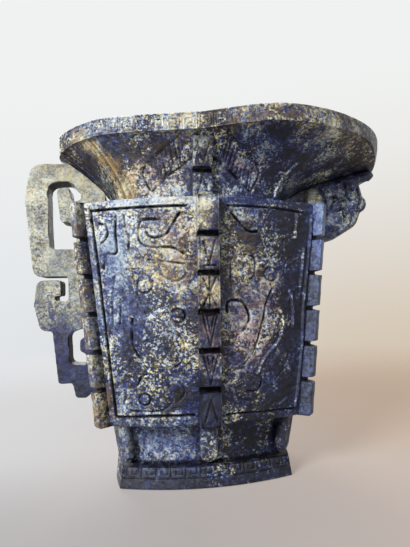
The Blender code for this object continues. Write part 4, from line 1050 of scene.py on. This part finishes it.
def strip_dirt_and_shade(relief, cut, side_count, darkening):
    """Dirt and painted shade in the carved marks, painted shade in the notches, and painted shade up each
    side as far as that side lies in shade.
    """
    deep = np.clip(cut / SHADED_NOTCH_DEPTH, 0, 1)[:, None]
    soil_and_shade = MARK_DIRT_AND_SHADE * np.maximum(np.clip(-relief / MARK_DEPTH - MARK_UNDARKENED, 0, 1), deep)
    up_side = np.interp(np.linspace(0, 1, side_count), *SIDE_SHADE_RISE)[None, :]
    first, last = (np.maximum(share * up_side, deep) for share in darkening)
    return np.concatenate([first, deep, soil_and_shade, deep, last[:, ::-1]], 1)


def notch_depths(heights, size):
    """How far the strip's face is cut back at each height."""
    low, high = heights[0], heights[-1]
    pitch = (high - low) / size["blocks"]
    nearest = np.abs((heights - low + pitch / 2) % pitch - pitch / 2)
    at_end = (heights - low < pitch / 2) | (high - heights < pitch / 2)
    cut = ease(size["width"] / 2 - nearest, 0.0, NOTCH_SLOPE) * size["notch"]
    rounding = np.minimum(heights - low, high - heights)
    return np.where(at_end, 0.0, cut) + END_ROUNDING * (1 - ease(rounding, 0.0, END_REACH))


def make_strips(prefix, sides, size, width, forward, heights, relief, cut, halves=None):
    """A strip at each side or corner, on a line that has a width and a distance forward at each height."""
    if halves is None:
        halves = np.full(len(heights), size["half"])
    for number, (end, (x_side, y_side)) in enumerate(sides.items()):
        node = prefix + end
        way = facing(x_side, y_side)
        line = np.column_stack([x_side * width, y_side * forward, heights])
        points = strip_points(line, way, halves, size["reach"] - cut, size, relief)
        wave = STRIP_WAVE * unevenness(points, STRIP_WAVE_SCALE, size["seed"] + number)
        points = points + np.array((*way, 0.0)) * wave[..., None]
        soil_and_shade = strip_dirt_and_shade(relief, cut, size["side"], STRIP_SIDE_SHADE.get(node, EVEN_SIDE_SHADE))
        tone = tones(points, FLANGE_TONE, soil_and_shade)
        make_loft(node + "_carved", points, tone, FLANGE_STONE, node)


FLANGE_STEPS = 264
# Each size has the half width, reach and root, the depth and width of the notches between blocks, the points
# across the front and up each side, and the seed of the first strip
CENTRE_FLANGE = {
    "half": 4.1, "reach": 4.6, "root": 1.2, "notch": 2.4, "width": 2.6, "blocks": 6, "front": 20, "side": 8,
    "seed": 21,
}
CORNER_FLANGE = {
    "half": 2.0, "reach": 3.8, "root": 1.7, "notch": 3.0, "width": 2.3, "blocks": 6, "front": 9, "side": 10,
    "seed": 31,
}
# Marks on each block of a middle flange from the top down, as millimetres across and share of the block
BLOCK_MARKS = (
    (),
    (((-2.2, 0.80), (0.0, 0.20), (2.2, 0.80)), ((-2.4, 0.18), (2.4, 0.18))),
    (((-2.4, 0.15), (2.4, 0.85)), ((2.4, 0.15), (-2.4, 0.85)), ((0.0, 0.12), (0.0, 0.88))),
    (((-2.6, 0.88), (0.0, 0.12), (2.6, 0.88)), ((-1.2, 0.88), (0.2, 0.45), (1.4, 0.88)),
     ((-2.6, 0.9), (2.6, 0.9))),
    (((-2.6, 0.85), (0.0, 0.15), (2.6, 0.85)), ((-1.2, 0.85), (0.0, 0.48), (1.2, 0.85))),
    (((-2.2, 0.2), (0.0, 0.75), (2.2, 0.2)),),
)
BLOCK_LINE, PILLOW = (1.0, 0.42), 0.4


def front_layout(size, heights):
    return laid_flat(np.linspace(-1, 1, size["front"]) * (size["half"] - STRIP_CORNER), heights)


def block_relief(heights, size):
    """Carved marks and pillowed faces on the blocks of a middle flange."""
    low, high = heights[0], heights[-1]
    where = front_layout(size, heights)
    relief = Relief(where)
    pitch = (high - low) / len(BLOCK_MARKS)
    for i, marks in enumerate(BLOCK_MARKS):
        foot = high - (i + 1) * pitch
        placed = [[(x, foot + share * pitch) for x, share in mark] for mark in marks]
        relief.cut(placed, *BLOCK_LINE, straight=True)
    level = (heights - low) / pitch % 1.0 * 2 - 1
    pillow = np.abs(where[:, 0] / size["half"]) ** 3 + np.repeat(np.abs(level), size["front"]) ** 4
    return (relief.height() - PILLOW * pillow).reshape(len(heights), -1)


def build_body_flanges():
    heights = np.linspace(BODY_BASE, BODY_TOP, FLANGE_STEPS)
    shares = (heights - BODY_BASE) / (BODY_TOP - BODY_BASE)
    width, depth, bow, _ = between(BODY_BOTTOM_SIZE, BODY_TOP_SIZE, shares)
    carved, cut = block_relief(heights, CENTRE_FLANGE), notch_depths(heights, CENTRE_FLANGE)
    make_strips("flange_", SIDES, CENTRE_FLANGE, width, depth + bow, heights, carved, cut)
    plain, cut = np.zeros((FLANGE_STEPS, CORNER_FLANGE["front"])), notch_depths(heights, CORNER_FLANGE)
    make_strips("flange_", CORNERS, CORNER_FLANGE, width, depth, heights, plain, cut)


NECK_FLANGE = {
    "half": 4.0, "reach": 3.4, "root": 0.9, "notch": 2.2, "width": 2.4, "blocks": 2, "front": 18, "side": 6,
    "seed": 41,
}
NECK_FLANGE_SPAN, NECK_FLANGE_STEPS = (0.03, 0.9), 60
# Chevrons: half width, distance of the ends from the strip's end and of the point from its middle
CHEVRON_HALF, CHEVRON_END, CHEVRON_POINT, CHEVRON_LINE = 2.4, 2, 2.5, (1.0, 0.4)


def build_neck_flanges():
    shares = np.linspace(*NECK_FLANGE_SPAN, NECK_FLANGE_STEPS)
    foot = NECK_SIZE[1] + NECK_SIZE[2]
    rim = -RIM_POINTS[4][1] - BAND_STEP
    forward = foot + (rim - foot) * shares ** FLARE_POWERS[2]
    heights = blend(NECK_BASE, RIM_LEVEL - BAND_HEIGHTS[2], shares)
    relief = Relief(front_layout(NECK_FLANGE, heights))
    middle = (heights[0] + heights[-1]) / 2
    for end, way in ((heights[-1], 1), (heights[0], -1)):
        tip, point = end - way * CHEVRON_END, (0.0, middle + way * CHEVRON_POINT)
        relief.cut([((-CHEVRON_HALF, tip), point, (CHEVRON_HALF, tip))], *CHEVRON_LINE, straight=True)
    carved, cut = relief.height().reshape(NECK_FLANGE_STEPS, -1), notch_depths(heights, NECK_FLANGE)
    width = np.zeros(NECK_FLANGE_STEPS)
    make_strips("neck_flange_", SIDES, NECK_FLANGE, width, forward, heights, carved, cut)


TONGUE = {"half": 3.5, "reach": 3.2, "root": 0.9, "front": 14, "side": 5, "seed": 51}
TONGUE_STEPS, TONGUE_CROWDING, TONGUE_ROUNDNESS, TONGUE_LEAST = 40, 1.4, 2.6, 0.02
TONGUE_LOW, TONGUE_HIGH = FOOT_BAND + 1.4, FOOT_HEIGHT
TONGUE_MARKS = (
    ((-1.6, TONGUE_HIGH - 1.5), (0.0, TONGUE_LOW + 6), (1.6, TONGUE_HIGH - 1.5)),
    ((-1.8, TONGUE_LOW + 4.5), (0.0, TONGUE_LOW + 2), (1.8, TONGUE_LOW + 4.5)),
)
TONGUE_LINE = (0.9, 0.35)


def build_tongues():
    heights = blend(TONGUE_LOW, TONGUE_HIGH, np.linspace(0, 1, TONGUE_STEPS) ** TONGUE_CROWDING)
    rounding = np.clip((heights - TONGUE_LOW) / TONGUE["half"], 0, 1)
    halves = TONGUE["half"] * np.sqrt(np.maximum(1 - (1 - rounding) ** TONGUE_ROUNDNESS, TONGUE_LEAST))
    shares = (heights - FOOT_BAND) / (FOOT_HEIGHT - FOOT_BAND)
    width, depth, bow, _ = drawn_in(FOOT_SIZE, blend(FOOT_WAIST_INSET, FOOT_TOP_INSET, shares))
    across = np.outer(halves, np.linspace(-1, 1, TONGUE["front"])).ravel()
    relief = Relief(np.column_stack([across, np.repeat(heights, TONGUE["front"])]))
    relief.cut(TONGUE_MARKS, *TONGUE_LINE, straight=True)
    carved, cut = relief.height().reshape(TONGUE_STEPS, -1), np.zeros(TONGUE_STEPS)
    corner_tongue = TONGUE | {"seed": TONGUE["seed"] + len(SIDES)}
    for sides, size, forward in ((SIDES, TONGUE, depth + bow), (CORNERS, corner_tongue, depth)):
        make_strips("foot_tongue_", sides, size, width, forward, heights, carved, cut, halves)


# The scroll handle and the head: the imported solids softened, so that their edges are worked round


SMOOTH_FACTOR = 0.5
HANDLE_VOXEL, HANDLE_SMOOTHING = 0.5, 2
HANDLE_FACE, HANDLE_WAVE, HANDLE_WAVE_SCALE, HANDLE_SEED = (3.5, 5.4), 0.22, 7.0, 61
LOW_END, LOW_END_TONE = (84.0, 30.0), np.array((-0.52, 0.10, -0.08))
HIGH_END, HIGH_END_TONE = (100.0, 128.0), np.array((0.10, 0.0, 0.06))
# Painted shade on the handle's walls: dark on the inner walls of its openings, faint on its outer walls
HANDLE_WALLS, INNER_WALL_SHADE, OUTER_WALL_SHADE = (4.4, 5.3), 0.95, 0.12
OUTLINE_FADE = (1.2, 2.4)


def remeshed(node, voxel, smoothing):
    copy = new_object(node + "_soft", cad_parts[node].data.copy())
    remesh = copy.modifiers.new("even_faces", "REMESH")
    remesh.mode = "VOXEL"
    remesh.voxel_size = voxel * MM
    soften = copy.modifiers.new("soft_edges", "SMOOTH")
    soften.factor = SMOOTH_FACTOR
    soften.iterations = smoothing
    bpy.context.view_layer.update()
    evaluated = copy.evaluated_get(bpy.context.evaluated_depsgraph_get())
    mesh = bpy.data.meshes.new_from_object(evaluated)
    points = np.empty(len(mesh.vertices) * 3)
    mesh.vertices.foreach_get("co", points)
    faces = [tuple(face.vertices) for face in mesh.polygons]
    bpy.data.objects.remove(copy, do_unlink=True)
    bpy.data.meshes.remove(mesh)
    return points.reshape(-1, 3) / MM, faces


def least_along(along, across):
    """The least value across at each point's millimetre along."""
    row = np.round(along).astype(int)
    row -= row.min()
    least = np.full(row.max() + 1, FAR)
    np.minimum.at(least, row, across)
    return least[row]


def edge_share(along, across):
    """1 on the outline's outermost edge at each place along it, and 0 further inside."""
    return 1 - ease(across - least_along(along, across), *OUTLINE_FADE)


def build_handle():
    points, faces = remeshed("scroll_handle", HANDLE_VOXEL, HANDLE_SMOOTHING)
    face_share = ease(np.abs(points[:, 1]), *HANDLE_FACE)
    uneven = unevenness(points, HANDLE_WAVE_SCALE, HANDLE_SEED)
    points[:, 1] += np.sign(points[:, 1]) * face_share * HANDLE_WAVE * uneven
    tone = tones(points, GREY_TONE, np.zeros(len(points)))
    x, y, z = points.T
    for span, amounts in ((LOW_END, LOW_END_TONE), (HIGH_END, HIGH_END_TONE)):
        tone[:, :3] += ease(z, *span)[:, None] * amounts
    walls = 1 - ease(np.abs(y), *HANDLE_WALLS)
    outside = np.maximum(np.maximum(edge_share(z, x), edge_share(x, z)), edge_share(x, -z))
    tone[:, 3] = blend(INNER_WALL_SHADE, OUTER_WALL_SHADE, outside) * walls
    make_piece("scroll_handle_stone", points, faces, tone, GREY_STONE, "scroll_handle")


HEAD_VOXEL, HEAD_SMOOTHING = 0.5, 3
HEAD_LIFT, HEAD_TOP_BAND = 0.9, 1.6
# Dirt and painted shade in the head's carved lines, and painted highlight on its ribs
HEAD_DIRT_AND_SHADE, HEAD_RIB_HIGHLIGHT = 0.6, 0.08
HEAD_PATCH, HEAD_PATCH_TONE = ((54, 120), (5, 6)), np.array((0.36, 0.0, 0.35))
# Lines on the head's sides, as distance along the vase and height
HEAD_SIDES, HEAD_CUT, HEAD_RIB, HEAD_EYE = (4.0, 8.0), (2.2, 1.2), (2.4, 1.4), (2.6, 1.4, 0.9, 0.5)
HEAD_CUTS = (
    ((63.2, 119.4), (65.7, 120.3), (68.1, 118.9), (70.6, 119.1)),
    ((69.0, 116.0), (69.4, 113.7), (69.8, 111.3), (70.0, 108.5)),
    ((58.0, 124.0), (60.5, 119.0), (61.0, 113.0), (59.0, 107.0)),
    ((76.5, 124.0), (77.4, 120.0), (76.0, 115.0)),
    ((70.5, 127.0), (71.2, 123.0), (70.0, 120.5)),
)
HEAD_RIBS = (
    ((73.2, 126.6), (74.7, 124.7), (75.0, 122.3), (73.5, 119.7), (71.6, 119.2)),
    ((67.9, 127.5), (67.7, 126.1), (67.4, 123.7), (66.3, 122.3)),
    ((69.9, 115.5), (71.2, 113.0), (71.4, 110.0), (70.4, 107.4)),
    ((64.5, 109.5), (66.6, 107.0), (67.6, 104.8)),
    ((60.8, 124.5), (63.0, 121.5), (63.6, 117.0)),
)
HEAD_EYES = ((66.1, 116.2),)
# Lines of the face on the head's end, as distance from the middle and height
FACE_START, FACE_CUT, FACE_RIB, FACE_EYE = (70.0, 73.0), (1.5, 0.8), (3.0, 0.8), (1.7, 1.2, 0.7, 0.4)
FACE_CUTS = (
    ((1.2, 119.0), (3.5, 121.2), (6.8, 120.8)),
    ((2.4, 114.5), (5.0, 112.5), (7.2, 114.6)),
    ((1.0, 110.2), (2.6, 111.2), (3.6, 109.8), (2.4, 108.8)),
    ((0.0, 107.2), (3.5, 106.8), (6.5, 108.0)),
)
FACE_RIBS = (((0.0, 120.5), (0.0, 116.0), (0.0, 111.5)),)
FACE_EYES = ((4.4, 117.2),)


def build_head():
    points, faces = remeshed("beast_head", HEAD_VOXEL, HEAD_SMOOTHING)
    top = -least_along(points[:, 0], -points[:, 2])
    points[:, 2] += ease(points[:, 2] - top, -HEAD_TOP_BAND, 0.0) * HEAD_LIFT
    relief = Relief(points[:, [0, 2]])
    relief.cut(HEAD_CUTS, *HEAD_CUT)
    relief.ridge(HEAD_RIBS, *HEAD_RIB)
    relief.ring_eyes(HEAD_EYES, *HEAD_EYE)
    side = np.sign(points[:, 1]) * ease(np.abs(points[:, 1]), *HEAD_SIDES)
    points[:, 1] += side * relief.height()
    face = Relief(np.column_stack([np.abs(points[:, 1]), points[:, 2]]))
    face.cut(FACE_CUTS, *FACE_CUT)
    face.ridge(FACE_RIBS, *FACE_RIB)
    face.ring_eyes(FACE_EYES, *FACE_EYE)
    ahead = ease(points[:, 0], *FACE_START)
    points[:, 0] += ahead * face.height()
    dirt_and_shade = np.maximum(relief.dirt_and_shade() * np.abs(side), face.dirt_and_shade() * ahead)
    tone = tones(points, DARK_TONE, HEAD_DIRT_AND_SHADE * dirt_and_shade)
    tone[:, 0] += HEAD_RIB_HIGHLIGHT * relief.rib * np.abs(side)
    tone[:, :3] += patch_share(points[:, [0, 2]], *HEAD_PATCH)[:, None] * HEAD_PATCH_TONE
    make_piece("beast_head_carved", points, faces, tone, DARK_STONE, "beast_head")


# Stage, light and camera


WORLD_LIGHT, WORLD_TINT = 0.26, colour(236, 240, 246)
WORLD_RISE, WORLD_ACROSS = (-0.3, 0.5), (-0.35, 0.55)
# The backdrop seen by the camera turns tan low on the right: a painted shadow
WORLD_HIGH, WORLD_LOW_WITH_SHADOW = colour(240, 242, 241), (colour(222, 226, 231), colour(206, 188, 164))
# Lamps: name, place, target, size, power and tint
LAMPS = (
    ("window", (-0.50, -0.52, 0.50), (0.0, 0.0, 0.08), 0.30, 9.5, (1.0, 0.98, 0.95)),
    ("fill", (-0.18, 0.62, 0.34), (0.0, 0.0, 0.06), 0.50, 4.5, (1.0, 0.99, 0.97)),
)
FLOOR_SIDES, FLOOR_RADIUS, FLOOR_LEVEL, FLOOR_GLOW = 96, 0.8, -0.0002, 0.6
FLOOR_FADE, FLOOR_NEAR, FLOOR_ACROSS = (0.16, 0.56), (-0.065, 0.03), (-0.12, 0.16)
FLOOR_MOTTLE, FLOOR_SHADES = (9.0, 4.0, 0.55), (colour(184, 180, 177), colour(196, 193, 191))
FLOOR_ROUGHNESS, FLOOR_SHINE = 0.8, 0.15
# Floor tints seen by the camera: tan on the right and darker towards the front, as painted shadow on the
# floor
FAR_TINTS_WITH_SHADOW = colour(204, 207, 212), colour(206, 176, 148)
NEAR_SHADOW_TINTS = colour(146, 148, 154), colour(212, 190, 176)
CLIP_START = 0.01


def area_light(name, place, target, size, power, tint):
    light = bpy.data.lights.new(name, "AREA")
    light.shape = "DISK"
    light.size = size
    light.energy = power
    light.color = tint
    lamp = new_object(name, light)
    lamp.location = place
    lamp.rotation_euler = (Vector(target) - Vector(place)).to_track_quat("-Z", "Y").to_euler()


def build_world():
    world = bpy.data.worlds.new("pale_studio")
    bpy.context.scene.world = world
    tree = Tree(world)
    tree.nodes.clear()
    way = tree.add("ShaderNodeTexCoord").outputs["Generated"]
    axes = tree.add("ShaderNodeSeparateXYZ", {"Vector": way})
    high = tree.fit(axes.outputs["Z"], *WORLD_RISE)
    across = tree.fit(axes.outputs["X"], *WORLD_ACROSS)
    shown = tree.mix(high, tree.mix(across, *WORLD_LOW_WITH_SHADOW), WORLD_HIGH)
    path = tree.add("ShaderNodeLightPath")
    seen = tree.math("ADD", path.outputs["Is Camera Ray"], path.outputs["Is Glossy Ray"], clamp=True)
    seen = tree.math("ADD", seen, path.outputs["Is Transmission Ray"], clamp=True)
    soft = tree.add("ShaderNodeBackground", {"Color": WORLD_TINT, "Strength": WORLD_LIGHT})
    pale = tree.add("ShaderNodeBackground", {"Color": shown, "Strength": 1.0})
    mixed = tree.add(
        "ShaderNodeMixShader", {0: seen, 1: soft.outputs["Background"], 2: pale.outputs["Background"]}
    )
    tree.add("ShaderNodeOutputWorld", {"Surface": mixed.outputs["Shader"]})


def build_floor():
    turns = np.linspace(0, 2 * math.pi, FLOOR_SIDES, endpoint=False)
    rim = np.column_stack([np.cos(turns), np.sin(turns)]) * FLOOR_RADIUS
    mesh = bpy.data.meshes.new("pale_floor")
    mesh.from_pydata(ring(rim, FLOOR_LEVEL).tolist(), [], [list(range(FLOOR_SIDES))])
    floor = new_object("pale_floor", mesh)
    material, tree, shader, place = new_material("pale_table")
    mottle = tree.noise(place, *FLOOR_MOTTLE)
    tree.put(tree.mix(mottle, *FLOOR_SHADES), shader.inputs["Base Color"])
    tree.put(FLOOR_ROUGHNESS, shader.inputs["Roughness"])
    tree.put(FLOOR_SHINE, shader.inputs["Specular IOR Level"])
    axes = tree.add("ShaderNodeSeparateXYZ", {"Vector": place})
    across = tree.fit(axes.outputs["X"], *FLOOR_ACROSS)
    far_tint, near_tint = tree.mix(across, *FAR_TINTS_WITH_SHADOW), tree.mix(across, *NEAR_SHADOW_TINTS)
    tint = tree.mix(tree.fit(axes.outputs["Y"], *FLOOR_NEAR), near_tint, far_tint)
    glow = tree.add("ShaderNodeEmission", {"Color": tint})
    seen = tree.math("MULTIPLY", tree.add("ShaderNodeLightPath").outputs["Is Camera Ray"], FLOOR_GLOW)
    shown = tree.add(
        "ShaderNodeMixShader", {0: seen, 1: shader.outputs["BSDF"], 2: glow.outputs["Emission"]}
    )
    clear = tree.add("ShaderNodeBsdfTransparent")
    far = tree.add("ShaderNodeVectorMath", {0: place}, operation="LENGTH").outputs["Value"]
    faded = tree.add("ShaderNodeMixShader", {
        0: tree.fit(far, *FLOOR_FADE), 1: shown.outputs["Shader"], 2: clear.outputs["BSDF"]
    })
    tree.put(faded.outputs["Shader"], tree.nodes["Material Output"].inputs["Surface"])
    floor.data.materials.append(material)


def build_camera():
    yaw, pitch, roll = (math.radians(degrees) for degrees in (CAMERA_YAW, CAMERA_PITCH, CAMERA_ROLL))
    upright = Matrix.Rotation(math.pi / 2 + pitch, 4, "X")
    turn = Matrix.Rotation(yaw, 4, "Z") @ upright @ Matrix.Rotation(roll, 4, "Z")
    lens = bpy.data.cameras.new("photo_camera")
    lens.sensor_fit = "AUTO"
    lens.sensor_width = SENSOR
    lens.lens = FOCAL_PIXELS / IMAGE_HEIGHT * SENSOR
    lens.clip_start = CLIP_START
    camera = new_object("photo_camera", lens)
    camera.matrix_world = Matrix.Translation(Vector(CAMERA_PLACE) * MM) @ turn
    bpy.context.scene.camera = camera


build_camera()
build_world()
build_floor()
for lamp in LAMPS:
    area_light(*lamp)
build_body()
build_neck()
build_foot()
build_body_flanges()
build_neck_flanges()
build_tongues()
build_handle()
build_head()
PIN_BRASS = brass("pin_brass_drawn")
for pin in ("handle_pin_low", "handle_pin_high", "handle_pin_top", "head_pin"):
    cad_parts[pin].data.materials.clear()
    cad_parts[pin].data.materials.append(PIN_BRASS)

bpy.context.scene.view_settings.view_transform = "Standard"
